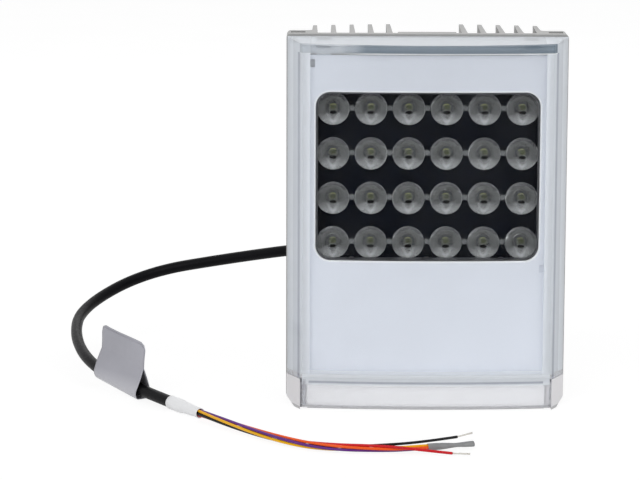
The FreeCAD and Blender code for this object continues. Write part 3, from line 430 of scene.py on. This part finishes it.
# Start angle of each wire in the bundle, then its free end's points or its angle in the splice sleeve.
WIRES = {
    "wire_black": (378.0, [(-3, -109, 3.2), (12, -101, 3.6)]),
    "wire_red": (306.0, [(-6, -120.4, 2.2), (9, -121.5, 0.9)]),
    "wire_orange": (234.0, 0.0),
    "wire_violet": (162.0, -120.0),
    "wire_yellow": (90.0, 120.0),
}
STRAND_ENDS = {
    "strand_black": ((12, -101, 3.6), (19.1, -96.5, 4.4)),
    "strand_red": ((9, -121.5, 0.9), (17, -122.5, 0.9)),
}
CABLE_DIAMETER = 5.8
WIRE_DIAMETER = 1.3
CORD_STEPS = 20
CORD_CORNERS = 6


def ring_offset(direction, radius, degrees):
    ahead = Vector(direction).normalized()
    side = ahead.cross(UP).normalized()
    up = side.cross(ahead)
    angle = math.radians(degrees)
    return side * (radius * math.cos(angle)) + up * (radius * math.sin(angle))


def wire_route(start_angle, tail):
    middle = [Vector(point) for point in BUNDLE_ROUTE]
    middle[0] += (middle[1] - middle[0]).normalized() * WIRE_START_GAP
    points = []
    for index, point in enumerate(middle):
        ahead = middle[min(index + 1, len(middle) - 1)] - middle[max(index - 1, 0)]
        points.append(point + ring_offset(ahead, BUNDLE_RADIUS, start_angle + BUNDLE_TWIST * index))
    if isinstance(tail, list):
        return points + [Vector(point) for point in tail]
    run = (SPLICE_END - SPLICE_START).normalized()
    entry = SPLICE_START + ring_offset(run, SPLICE_WIRE_RADIUS, tail)
    return points + [entry - run * SPLICE_APPROACH, entry + run * SPLICE_GRIP]


def cord_curve(name, points, diameter, material):
    data = bpy.data.curves.new(name, "CURVE")
    data.dimensions = "3D"
    data.resolution_u = CORD_STEPS
    data.bevel_depth = diameter / 2 * MM
    data.bevel_resolution = CORD_CORNERS
    data.use_fill_caps = True
    spline = data.splines.new("NURBS")
    spline.points.add(len(points) - 1)
    for control, point in zip(spline.points, points):
        control.co = (*(Vector(point) * MM), 1.0)
    spline.order_u = 3
    spline.use_endpoint_u = True
    cord = link(name, data, material)
    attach(cord, "root")
    return cord


# Distance along the sleeve and radius, outside and inside.
SLEEVE_OUTSIDE = [
    (-10.0, 3.06), (-9.8, 3.28), (-7.0, 3.3), (-1.5, 3.3), (0.4, 3.2), (2.4, 2.9), (4.5, 2.78),
    (7.0, 2.72), (9.0, 2.6), (11.0, 2.5), (13.5, 2.46), (15.8, 2.5), (16.0, 2.36),
]
SLEEVE_INSIDE = [(16.0, 2.2), (3.0, 2.2), (0.0, 3.0), (-10.0, 3.0)]
SLEEVE_SIDES = 40
JACKET_END = 1.0
JACKET_RIPPLE = 0.3

# Height, waves round the sleeve and slant of each ripple.
RIPPLES = ((0.05, 3, 0.9), (0.04, 5, -1.7))


def ripple_at(angle, along):
    total = sum(height * math.sin(waves * angle + along * slant) for height, waves, slant in RIPPLES)
    return total if along > JACKET_END else total * JACKET_RIPPLE


def make_end_sleeve(material):
    """Heat-shrunk sleeve: smooth over the jacket, then drawn down in soft steps on to the wires."""
    place = at(CABLE_ROUTE[-1], Vector(CABLE_ROUTE[-1]) - Vector(CABLE_ROUTE[-2]))
    mesh = bmesh.new()
    rings = []
    for along, radius in SLEEVE_OUTSIDE:
        points = ring(place, along, radius, count=SLEEVE_SIDES)
        centre = place @ Vector((0, 0, along * MM))
        for step, point in enumerate(points):
            ripple = ripple_at(math.tau * step / SLEEVE_SIDES, along)
            points[step] = centre + (point - centre) * (1 + ripple / radius)
        rings.append(points)
    rings += [ring(place, along, radius, count=SLEEVE_SIDES) for along, radius in SLEEVE_INSIDE]
    loft(mesh, rings, close=True)
    sleeve = from_bmesh("sleeve", mesh, material)
    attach(sleeve, "root")
    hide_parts("end_sleeve")
    return sleeve


# Distance along the splice sleeve, radius and flatness, outside and inside.
SPLICE_OUTSIDE = [
    (0.0, 1.62, 0.98), (0.3, 1.74, 0.97), (3.0, 1.74, 0.95), (7.0, 1.66, 0.92), (10.0, 1.42, 0.88),
    (12.5, 1.18, 0.86), (14.0, 1.14, 0.84), (15.5, 1.24, 0.82), (18.0, 1.5, 0.8), (20.5, 1.62, 0.8),
    (21.9, 1.62, 0.8),
]
SPLICE_INSIDE = [
    (21.9, 1.4, 0.78), (18.5, 1.2, 0.8), (15.0, 0.9, 0.86), (9.0, 1.1, 0.9), (7.0, 1.48, 0.94),
    (0.0, 1.5, 0.98),
]


def make_splice(material):
    """Flattened shrink sleeve with a waist before its pressed, open end."""
    place = at(SPLICE_START, SPLICE_END - SPLICE_START)
    mesh = bmesh.new()
    loft(mesh, [ring(place, *row) for row in SPLICE_OUTSIDE + SPLICE_INSIDE], close=True)
    splice = from_bmesh("splice", mesh, material)
    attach(splice, "root")
    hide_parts("splice_sleeve")
    return splice


STRAND = {"count": 7, "steps": 14, "sides": 8, "radius": 0.13, "reach": 0.27, "opening": 0.35, "twist": 2.4}


def make_strands(label, ends, material):
    """Fine tinned strands, twisted and a little spread at the tip."""
    start, end = [Vector(point) for point in ends]
    run = end - start
    place = at(start, run)
    corners = [math.tau * corner / STRAND["sides"] for corner in range(STRAND["sides"])]
    section = [Vector((math.cos(angle), math.sin(angle), 0)) * STRAND["radius"] * MM for angle in corners]
    mesh = bmesh.new()
    for strand in range(STRAND["count"]):
        base = STRAND["reach"] if strand else 0.0
        rings = []
        for step in range(STRAND["steps"] + 1):
            share = step / STRAND["steps"]
            angle = math.tau * strand / (STRAND["count"] - 1) + STRAND["twist"] * share
            reach = base * (1 + STRAND["opening"] * share ** 3)
            centre = Vector((reach * math.cos(angle), reach * math.sin(angle), run.length * share)) * MM
            rings.append([place @ (centre + point) for point in section])
        loft(mesh, rings)
    strands = from_bmesh(label.replace("strand", "tinned"), mesh, material)
    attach(strands, "root")
    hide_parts(label)
    return strands


# The front leaf ends one step lower. The leaves meet at the apex and open round the cable below it.
FLAG = {"length": 38.0, "rise": 24.3, "step": 1.1, "apex": 12.0, "gap": 1.2, "film": 0.25, "skin": 0.225,
        "shift": 2.8, "skew": 0.035, "far_corner": 3.6, "near_corner": 4.5}

# Size and rate of the film's sway, then size, rate and start of its curl.
FLAG_SWAY = (0.35, 0.28)
FLAG_CURL = (0.05, 4.2, 0.6)
LEAF_STEPS = 13
BEND_STEPS = 8
TURN_STEPS = 16
FLAG_COLUMNS = 28


def flag_path():
    """Section of the film as (across, height, top of its leaf): down one leaf, round the cable and up."""
    radius = CABLE_DIAMETER / 2 + FLAG["gap"] + FLAG["film"] / 2
    apex = FLAG["apex"]
    lean = math.acos(radius / apex)
    half = FLAG["film"] / 2
    leaves = []
    for top in (FLAG["rise"] - FLAG["step"], FLAG["rise"]):
        leaf = [(half, top - (top - apex) * step / LEAF_STEPS, top) for step in range(LEAF_STEPS + 1)]
        for step in range(1, BEND_STEPS + 1):
            share = step / BEND_STEPS
            leaf.append((half + (radius * math.sin(lean) - half) * share,
                         apex + (radius * math.cos(lean) - apex) * share, top))
        leaves.append(leaf)
    sweep = 2 * (math.pi - lean)
    turn = []
    for step in range(1, TURN_STEPS):
        angle = math.pi / 2 - lean - sweep * step / TURN_STEPS
        turn.append((radius * math.cos(angle), radius * math.sin(angle), FLAG["rise"]))
    return leaves[0] + turn + [(-across, height, top) for across, height, top in reversed(leaves[1])]


def rounding(below, corner):
    """How far a rounded corner draws the film's end in, at a distance below its top edge."""
    return corner - math.sqrt(corner ** 2 - (corner - below) ** 2) if below < corner else 0.0


def flag_row(across, height, top, middle, ahead, side, up):
    """The film's points along the cable at one place of its section."""
    far, near = [rounding(top - height, FLAG[corner]) for corner in ("far_corner", "near_corner")]
    sway_size, sway_turn = FLAG_SWAY
    curl_size, curl_turn, curl_start = FLAG_CURL
    points = []
    for column in range(FLAG_COLUMNS + 1):
        share = column / FLAG_COLUMNS
        along = (share - 0.5) * FLAG["length"] + far * (1 - share) - near * share
        sway = sway_size * math.sin(height * sway_turn) * (share - 0.5) * 2
        curl = curl_size * max(0.0, height - FLAG["apex"]) * math.sin(share * curl_turn + curl_start)
        point = middle + ahead * (along + sway) + side * (across + curl)
        point += up * (height - FLAG["skew"] * along)
        point.z = max(point.z, FLAG["film"])
        points.append(point * MM)
    return points


def make_flag(material):
    """Film folded round the cable. Its leaves stand together and curl a little at their free edges."""
    start, end = Vector(CABLE_ROUTE[-3]), Vector(CABLE_ROUTE[-2])
    ahead = (end - start).normalized()
    side = ahead.cross(UP).normalized()
    up = side.cross(ahead)
    middle = (start + end) / 2 + ahead * FLAG["shift"]
    mesh = bmesh.new()
    rows = []
    for place in flag_path():
        rows.append([mesh.verts.new(point) for point in flag_row(*place, middle, ahead, side, up)])
    for one, other in zip(rows, rows[1:]):
        for column in range(FLAG_COLUMNS):
            mesh.faces.new((one[column], one[column + 1], other[column + 1], other[column]))
    flag = from_bmesh("flag", mesh, material)
    thick = flag.modifiers.new("film", "SOLIDIFY")
    thick.thickness = FLAG["skin"] * MM
    thick.offset = 0.0
    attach(flag, "root")
    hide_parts("flag_label")
    return flag


def make_cords(looks):
    sleeve = make_end_sleeve(looks["sleeve"])
    splice = make_splice(looks["splice"])
    flag = make_flag(looks["film"])
    strands = {label: make_strands(label, ends, looks["tinned"]) for label, ends in STRAND_ENDS.items()}
    cable = cord_curve("cable", CABLE_ROUTE, CABLE_DIAMETER, looks["jacket"])
    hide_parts("power_cable")
    for label, (angle, tail) in WIRES.items():
        points = wire_route(angle, tail)
        wire = cord_curve(label.replace("wire", "lead"), points, WIRE_DIAMETER, looks[label])
        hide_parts(label)


def clear(name, tint, rough, haze_color, grain, relief, veil, **sockets):
    """Clear moulding with a veil of haze, painted highlights and painted shade. Shadow rays pass, as light
    does through a thin clear wall.
    """
    look = Look(name)
    look.set(Base_Color=rgba(tint), Roughness=rough, IOR=1.49, Transmission_Weight=1.0,
             Normal=look.bump(look.noise(grain), relief * MM), **sockets)
    amount, tone = veil(look, haze_color)
    dust = look.add("BsdfDiffuse", {"Color": rgba(tone)}).outputs[0]
    hazy = look.add("MixShader", {0: amount, 1: look.shader.outputs[0], 2: dust}).outputs[0]
    shadow = look.add("LightPath").outputs["Is Shadow Ray"]
    passing = look.add("BsdfTransparent", {"Color": rgba(shade(tint, SHADOW_PASS))}).outputs[0]
    return look.show(look.add("MixShader", {0: shadow, 1: hazy, 2: passing}).outputs[0])


def cover_marks(look):
    """Masks of the places on the cover that carry a veil, dirt, painted shade or a painted highlight."""
    sideways, height, depth = look.axis("X"), look.axis("Z"), look.axis("Y")
    across = look.math("ABSOLUTE", sideways)
    sag = look.math("DIVIDE", look.math("POWER", across, 2.0), 2 * BOW_RADIUS * MM)
    unbowed = look.math("SUBTRACT", depth, sag)
    front = look.below(unbowed, COVER_FACE)
    low = look.below(height, SHELF_TOP)
    over_cap = look.above(height, CAP_TOP)
    crown = look.above(height, CROWN_START)
    bevel = look.times(over_cap, look.above(across, BEVEL_START))
    specks = look.noise(SPECK_GRAIN)
    # The painted shade and the painted highlight at the crown weaken towards the left.
    faded = look.spread(sideways, SHADE_BAND_LEFT, 1.0, SHADE_BAND_FADE[0] * MM, SHADE_BAND_FADE[1] * MM)
    # painted shade: a thin dark line across the tongue
    seam = look.times(look.stripe(height, TONGUE_LINE, *LINES["seam"]), front,
                      look.below(across, FACE_HALF - SEAM_INSET))
    # painted shade: a dark line down each bevel
    fold = look.times(bevel, look.stripe(across, FOLD_LINE, *LINES["fold"]),
                      look.below(height, CROWN_START))
    return {
        "bevel": bevel,
        "outer": look.times(over_cap, look.above(across, OUTER_EDGE)),
        "crown": crown,
        "joint": look.times(look.above(height, BAR_TOP), low),
        "satin": look.most(look.above(depth, COVER_RIM), look.times(look.above(unbowed, SHELF_FRONT), low)),
        "dirt": look.times(low, look.above(across, FACE_HALF), look.spread(specks, *DIRT_RANGE)),
        # painted shade: a mottled dark strip down the tongue's left side, beside the gap
        "edge": look.times(look.below(height, CAP_TOP), look.below(sideways, SHADED_EDGE_STRIP[1] - FACE_HALF),
                           look.below(across, FACE_HALF - SHADED_EDGE_STRIP[0]), look.spread(specks, *SHADED_EDGE_RANGE)),
        # painted shade: a dark strip across the crown
        "shade_band": look.times(crown, front, faded),
        # painted highlight: a pale line just under the crown
        "glint": look.times(look.stripe(height, GLINT_HEIGHT, *LINES["glint"]), front, faded),
        "seam": seam,
        # tone of both painted shade lines
        "line": look.most(seam, look.times(fold, FOLD_SHARE)),
        # painted shade along the cover's bottom edge
        "foot": look.times(look.below(height, TONGUE_FOOT), look.above(height, 0.0)),
        "ledge": look.times(front, look.above(height, SHELF_TOP), look.below(height, LEDGE_TOP)),
        "lip": look.times(front, look.stripe(height, LIP_HEIGHT, *LINES["lip"])),
    }


def cover_veil(look, color):
    """Faint dust all over, and a veil of its own share and tone on each marked place, some of them painted
    shade and one a painted highlight.
    """
    marks = cover_marks(look)
    veils = [look.times(marks[name], share) for name, share in COVER_HAZE.items()]
    amount = look.most(look.spread(look.noise(DUST_PATCH, CLOUD_DETAIL), *DUST), *veils)
    return amount, look.stain(color, marks, COVER_TONES)


def lens_place(look):
    """Each point's distances across and up from the nearest lens's middle, and its radius."""
    across = look.wrap(look.math("SUBTRACT", look.axis("X"), LENS_PITCH / 2 * MM), LENS_PITCH / 2 * MM)
    row = look.math("SUBTRACT", look.axis("Z"), (ARRAY_HEIGHT - ROW_PITCH / 2) * MM)
    along = look.wrap(row, ROW_PITCH / 2 * MM)
    return across, along, radius_of(look, across, along)


def radius_of(look, across, along):
    square = look.math("ADD", look.math("POWER", across, 2.0), look.math("POWER", along, 2.0))
    return look.math("SQRT", square)


def spot(look, across, along, name):
    """1 inside a soft flattened spot near the lens's middle."""
    rise, flat, size = SPOTS[name]
    up = look.math("MULTIPLY", look.math("SUBTRACT", along, rise * MM), flat)
    return look.fall(radius_of(look, across, up), size * SPOT_CORE, size)


def lens_marks(look):
    """Masks of the marks in each lens: the rim's haze, painted highlights, painted shade and a painted
    image of the emitter. Arms, bowl, image and dark spot lie on its front face alone.
    """
    across, along, radius = lens_place(look)
    front = look.below(look.axis("Y"), LENS_FRONT + LENS_SKIN)
    slope = look.math("SUBTRACT", along, look.times(look.math("ABSOLUTE", across), ARM_SLOPE))
    arms = look.stripe(slope, ARM_FOOT, *LINES["arms"])
    bowl = spot(look, across, along, "bowl")
    return {
        "rim": look.rise(radius, *RIM_FADE),
        # painted highlights: a crescent along the lower rim, arms and a pale bowl low in the lens
        "crescent": look.times(look.rise(radius, *RING_FADE), look.rise(along, *HEIGHT_FADES["crescent"])),
        "arms": look.times(front, arms, look.rise(along, *HEIGHT_FADES["arms"])),
        "bowl": look.times(front, bowl, look.rise(along, *HEIGHT_FADES["bowl"])),
        # painted shade: a dark curve round the top of the lens
        "shade_arch": look.times(look.above(radius, SHADE_ARCH_RADIUS), look.rise(along, *HEIGHT_FADES["shade_arch"])),
        # a painted image of the emitter, and painted shade in a dark spot below it
        "image": look.times(front, spot(look, across, along, "image")),
        "dark": look.times(front, spot(look, across, along, "dark")),
    }


def lens_veil(look, color):
    """Haze of the moulding with painted highlights in a pale bowl, arms and a crescent low in each lens,
    painted shade in a dark curve round the top and a dark spot, and a painted dim image of the emitter.
    """
    marks = lens_marks(look)
    haze = look.spread(look.noise(CLOUD_PATCH, CLOUD_DETAIL), *LENS_CLOUD)
    for name, share in LENS_HAZE_AND_HIGHLIGHTS.items():
        haze = look.math("ADD", haze, look.times(marks[name], share))
    covers = [look.times(marks[name], share) for name, share in LENS_PAINTED_COVER.items()]
    return look.most(haze, *covers), look.stain(color, marks, LENS_PAINTED_TONES)


def striped(name, color, rough, pitch, relief, **sockets):
    """Extruded metal: a fine powder texture over faint lines along the extrusion."""
    look = Look(name)
    stretched = look.add("Mapping", {"Vector": look.place, "Scale": EXTRUSION_STRETCH}).outputs[0]
    lines = look.times(look.noise(pitch, PATCH_DETAIL, stretched), EXTRUSION_SHARE)
    fine = look.noise(POWDER_GRAIN)
    look.set(Base_Color=look.patchy(color, METAL_SPREAD, METAL_PATCH, CLOUD_DETAIL),
             Roughness=look.gloss(fine, rough),
             Normal=look.bump(look.math("ADD", lines, fine), relief * MM), **sockets)
    return look.material


def emitter():
    """Dark package with a dim yellow-green phosphor patch."""
    look = surface_look("phosphor", (0.03, 0.03, 0.03), 0.7, Specular_IOR_Level=0.1)
    across, along, _ = lens_place(look)
    patch = spot(look, across, along, "patch")
    return look.set(Base_Color=look.mix(patch, (0.04, 0.04, 0.035), (0.30, 0.33, 0.07))).material


def window_reach(look, side, height):
    """Distance from the window's rounded outline, positive outside it."""
    offs = []
    for value, middle, half in ((side, 0.0, WINDOW_HALF[0]), (height, ARRAY_HEIGHT, WINDOW_HALF[1])):
        off = look.math("ABSOLUTE", look.math("SUBTRACT", value, middle * MM))
        offs.append(look.math("SUBTRACT", off, (half - WINDOW_RADIUS) * MM))
    inner = look.math("MINIMUM", look.math("MAXIMUM", *offs), 0.0)
    outer = radius_of(look, *(look.math("MAXIMUM", off, 0.0) for off in offs))
    return look.math("SUBTRACT", look.math("ADD", outer, inner), WINDOW_RADIUS * MM)


def fascia_look():
    """White moulding with painted light, a little brighter towards the bottom, a painted highlight on the
    lip round the window, and painted shade in the clip recess and the slits.
    """
    look = surface_look("fascia_moulding", (0.65, 0.675, 0.74), 0.38, patch=18.0, spread=0.02, grain=1600.0,
                        relief=0.01)
    side, height = look.axis("X"), look.axis("Z")
    # painted light: brighter towards the bottom, dimmer at the top
    painted_light_level = look.spread(height, *FASCIA_PAINTED_LIGHT, FASCIA_FOOT * MM, FASCIA_TOP * MM)
    notch = look.times(look.above(height, NOTCH_FOOT), look.below(side, 0.0))
    ends = look.most(look.below(height, SLIT_TOP), notch)
    marks = {
        # painted highlight on the lip round the window
        "lip": look.fall(window_reach(look, side, height), *WINDOW_LIP),
        # painted shade in the clip recess
        "clip": look.times(look.stripe(side, CLIP_PLACE[0], CLIP_HALF[0], CLIP_SOFT),
                           look.stripe(height, CLIP_PLACE[1], CLIP_HALF[1], CLIP_SOFT)),
        # painted shade in the slits
        "slit": look.times(look.stripe(look.math("ABSOLUTE", side), SLIT_PLACE, *LINES["slit"]), ends),
    }
    tone = look.dim(look.tone(), painted_light_level)
    return look.set(Base_Color=look.stain(tone, marks, FASCIA_PAINTED_SHADE_AND_HIGHLIGHT)).material


def film_look():
    """Grey film with painted light, lighter low down round the cable."""
    look = surface_look("silver_film", (0.385, 0.385, 0.43), 0.36, metal=0.25, patch=40.0, spread=0.06,
                        grain=700.0, relief=0.01)
    # painted light: lighter low down, where the film turns under round the cable
    painted_light_low = look.times(look.fall(look.axis("Z"), *FILM_FADE), FILM_SHARE)
    return look.set(Base_Color=look.mix(painted_light_low, look.tone(), FILM_PAINTED_LIGHT)).material


def cap_look():
    """White moulding with painted shade at its foot and darker mottled patches in the seams beside the
    tongue.
    """
    look = surface_look("cap_moulding", (0.83, 0.82, 0.84), 0.42, patch=25.0, spread=0.015, grain=1800.0,
                        relief=0.012)
    across = look.math("ABSOLUTE", look.axis("X"))
    seam = look.stripe(across, CAP_SEAM, *LINES["seam_mottle"])
    patches = look.spread(look.noise(MOTTLE_GRAIN), *MOTTLE_RANGE)
    marks = {
        # painted shade at the foot
        "shaded": look.fall(look.axis("Z"), *CAP_FOOT),
        # darker mottled patches along the seams
        "seam_mottle": look.times(seam, look.below(look.axis("Y"), CAP_FRONT), patches),
    }
    return look.set(Base_Color=look.stain(look.tone(), marks, CAP_TONES)).material


def lead(name, color):
    """Thin insulation of one colour."""
    return surface(name, color, 0.3, grain=900.0, Specular_IOR_Level=0.2)


def make_looks():
    return {
        "metal": striped("powder_coat", (0.385, 0.385, 0.38), 0.5, 900.0, 0.03, Metallic=0.1),
        "white": cap_look(),
        "fascia": fascia_look(),
        "black": surface("black_moulding", (0.055, 0.056, 0.062), 0.45, spread=0.15),
        "board": surface("board_mask", (0.002, 0.003, 0.007), 0.45, spread=0.25, patch=180.0, relief=0.03,
                         Specular_IOR_Level=0.03),
        "seal": surface("seal_rubber", (0.42, 0.45, 0.49), 0.55, spread=0.05),
        "steel": surface("stainless", (0.55, 0.55, 0.55), 0.32, metal=1.0),
        "jacket": surface("cable_jacket", (0.003, 0.003, 0.004), 0.42, spread=0.2, grain=900.0, relief=0.04,
                          Specular_IOR_Level=0.08),
        "sleeve": surface("white_shrink", (0.94, 0.945, 0.96), 0.48, patch=200.0, spread=0.02, relief=0.02),
        "splice": surface("grey_shrink", (0.27, 0.275, 0.28), 0.38, patch=250.0, spread=0.1, relief=0.02),
        "tinned": surface("tinned_copper", (0.62, 0.60, 0.56), 0.3, metal=1.0),
        "film": film_look(),
        "phosphor": emitter(),
        "package": surface("led_package", (0.75, 0.74, 0.70), 0.4, patch=600.0),
        "green": surface("green_mask", (0.02, 0.11, 0.05), 0.35, patch=150.0, spread=0.15),
        "component": surface("component_body", (0.02, 0.02, 0.02), 0.5, patch=200.0),
        "can": surface("capacitor_can", (0.62, 0.62, 0.63), 0.3, metal=1.0),
        "gland": surface("gland_polyamide", (0.018, 0.018, 0.02), 0.5, spread=0.15, grain=1400.0,
                         relief=0.03),
        "pad": surface("thermal_pad", (0.22, 0.24, 0.27), 0.8),
        "cover": clear("clear_cover", (0.975, 0.985, 0.99), 0.02, (0.86, 0.90, 0.95), 400.0, 0.002,
                       cover_veil, Specular_Tint=(0.03, 0.03, 0.03, 1.0)),
        "lens": clear("lens_acrylic", (0.90, 0.91, 0.91), 0.05, (0.55, 0.56, 0.57), 700.0, 0.01, lens_veil,
                      Specular_Tint=(0.3, 0.3, 0.3, 1.0)),
        "wire_black": lead("lead_black", (0.004, 0.004, 0.005)),
        "wire_red": lead("lead_red", (0.68, 0.010, 0.018)),
        "wire_orange": lead("lead_orange", (1.0, 0.12, 0.018)),
        "wire_violet": lead("lead_violet", (0.14, 0.03, 0.26)),
        "wire_yellow": lead("lead_yellow", (1.0, 0.50, 0.008)),
    }


# The pieces that show their solids as they are, by look.
DRESSED = {
    "metal": ["housing"],
    "cover": ["front_cover"],
    "seal": ["cover_seal"],
    "white": ["bottom_cap"],
    "fascia": ["fascia"],
    "black": ["window_bezel"],
    "board": ["led_board"],
    "pad": ["thermal_pad"],
    "steel": ["led_board_screws", "driver_spacers", "driver_screws", "cover_screws", "cap_screws"],
    "green": ["driver_board", "terminal_block"],
    "component": ["power_inductors", "power_transistors", "controller_chip"],
    "package": ["led_connector"],
    "can": ["smoothing_capacitors"],
    "gland": ["sealing_washers", "gland_washer", "gland_seal", "gland_body", "gland_locknut", "gland_nut"],
    "phosphor": [f"led_row_{row + 1}" for row in range(LENS_ROWS)],
}


def dress(looks):
    for look, names in DRESSED.items():
        paint(looks[look], *names)


# Radius and depth of a lens, from the middle of its front round to the recess over its emitter.
LENS_PROFILE = [
    (0.0, 0.0), (3.0, 0.0), (6.0, 0.0), (7.5, 0.0), (7.8, 0.3), (7.8, 1.0), (7.35, 2.0), (6.8, 3.2),
    (6.1, 4.6), (5.2, 6.1), (4.3, 7.3), (3.5, 8.2), (2.3, 8.2), (2.15, 4.0), (1.7, 4.2), (1.2, 4.6),
    (0.7, 4.9), (0.3, 5.03), (0.0, 5.05),
]
JOINER_HALF = (1.4, 1.2)
JOINER_DEPTH = (2.0, 3.6)
PEG_PROFILE = [(0.0, 0.0), (1.1, 0.0), (1.1, 5.4), (0.0, 5.4)]
LENS_SEGMENTS = 48
PEG_SEGMENTS = 16
SHARP_ANGLE = 28


def lathe(mesh, profile, centre, segments):
    """Turns (radius, depth) rows about a line along Y."""
    x, y, z = centre
    rows = []
    for radius, depth in profile:
        if radius == 0.0:
            rows.append([mesh.verts.new(Vector((x, y + depth, z)) * MM)])
            continue
        row = []
        for step in range(segments):
            angle = math.tau * step / segments
            place = Vector((x + radius * math.cos(angle), y + depth, z + radius * math.sin(angle)))
            row.append(mesh.verts.new(place * MM))
        rows.append(row)
    for one, other in zip(rows, rows[1:]):
        for step in range(segments):
            after = (step + 1) % segments
            corners = [one[step % len(one)], one[after % len(one)], other[after % len(other)],
                       other[step % len(other)]]
            mesh.faces.new(list(dict.fromkeys(corners)))


def block(mesh, low, high):
    corners = [mesh.verts.new(Vector((x, y, z)) * MM)
               for x in (low[0], high[0]) for y in (low[1], high[1]) for z in (low[2], high[2])]
    for face in ((0, 1, 3, 2), (4, 6, 7, 5), (0, 4, 5, 1), (2, 3, 7, 6), (0, 2, 6, 4), (1, 5, 7, 3)):
        mesh.faces.new([corners[index] for index in face])


def joiner(mesh, across, height):
    """Bar between two lenses, with a peg behind it."""
    near, far = [LENS_FRONT + depth for depth in JOINER_DEPTH]
    wide, tall = JOINER_HALF
    block(mesh, (across - wide, near, height - tall), (across + wide, far, height + tall))
    lathe(mesh, PEG_PROFILE, (across, far, height), PEG_SEGMENTS)


def make_lens_rows(material):
    for row in range(LENS_ROWS):
        height = ARRAY_HEIGHT + ((LENS_ROWS - 1) / 2 - row) * ROW_PITCH
        mesh = bmesh.new()
        for column in range(LENS_COLUMNS):
            across = (column - (LENS_COLUMNS - 1) / 2) * LENS_PITCH
            lathe(mesh, LENS_PROFILE, (across, LENS_FRONT, height), LENS_SEGMENTS)
            if column < LENS_COLUMNS - 1:
                joiner(mesh, across + LENS_PITCH / 2, height)
        lenses = from_bmesh(f"lenses_{row + 1}", mesh, material)
        lenses.data.set_sharp_from_angle(angle=math.radians(SHARP_ANGLE))
        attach(lenses, "root")
        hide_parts(f"lens_row_{row + 1}")


# Place, target and size in metres, and power, of each lamp.
LIGHTS = {
    "key": ((-0.7, -1.3, 1.1), (0, 0, 0.09), (1.2, 1.2), 9.0),
    "fill": ((1.3, -0.9, 0.7), (0, 0, 0.09), (1.0, 1.2), 4.5),
    "rear": ((0.2, 1.3, 1.1), (0, 0, 0.1), (1.4, 0.9), 3.0),
}

# The floor's half-width in metres, its drop below the object in millimetres, and its looks.
FLOOR_HALF = 6.0
FLOOR_DROP = 0.2
FLOOR_PATCH = 12.0
FLOOR_TONES = ((0.88, 0.88, 0.88), (0.92, 0.92, 0.92))
FLOOR_WHITE = 1.1
FLOOR_SHARE = 0.8
WORLD_LIGHT = 0.5


def make_light(name, place, target, size, power):
    data = bpy.data.lights.new(name, "AREA")
    data.shape = "RECTANGLE"
    data.size, data.size_y = size
    data.energy = power
    lamp = bpy.data.objects.new(name, data)
    bpy.context.collection.objects.link(lamp)
    lamp.location = place
    lamp.rotation_euler = (Vector(target) - Vector(place)).to_track_quat("-Z", "Y").to_euler()


def make_floor():
    """Pale floor. Camera, mirror and glass see it mixed with plain white, under which the shadow stays."""
    look = Look("pale_floor")
    patches = look.spread(look.noise(FLOOR_PATCH, PATCH_DETAIL), 0.0, 1.0)
    look.set(Base_Color=look.mix(patches, *FLOOR_TONES), Roughness=0.8)
    amount = look.math("MULTIPLY", look.seen(), FLOOR_SHARE)
    white = look.add("Emission", {"Color": (1, 1, 1, 1), "Strength": FLOOR_WHITE}).outputs[0]
    look.show(look.add("MixShader", {0: amount, 1: look.shader.outputs[0], 2: white}).outputs[0])
    mesh = bmesh.new()
    bmesh.ops.create_grid(mesh, x_segments=1, y_segments=1, size=FLOOR_HALF)
    floor = from_bmesh("floor", mesh, look.material, smooth=False)
    floor.location.z = -FLOOR_DROP * MM


def make_world():
    """White surroundings that light the object at half of what is seen of them."""
    world = bpy.data.worlds.new("studio")
    bpy.context.scene.world = world
    world.use_nodes = True
    background = world.node_tree.nodes["Background"]
    background.inputs["Color"].default_value = (1.0, 1.0, 1.0, 1.0)
    graph = Graph(world.node_tree)
    graph.put(graph.spread(graph.seen(), WORLD_LIGHT, 1.0, 0.0, 1.0), background.inputs["Strength"])


make_camera()
looks = make_looks()
make_cords(looks)
dress(looks)
make_lens_rows(looks["lens"])
make_floor()
make_world()
for name, values in LIGHTS.items():
    make_light(name, *values)
bpy.context.scene.view_settings.view_transform = "Standard"
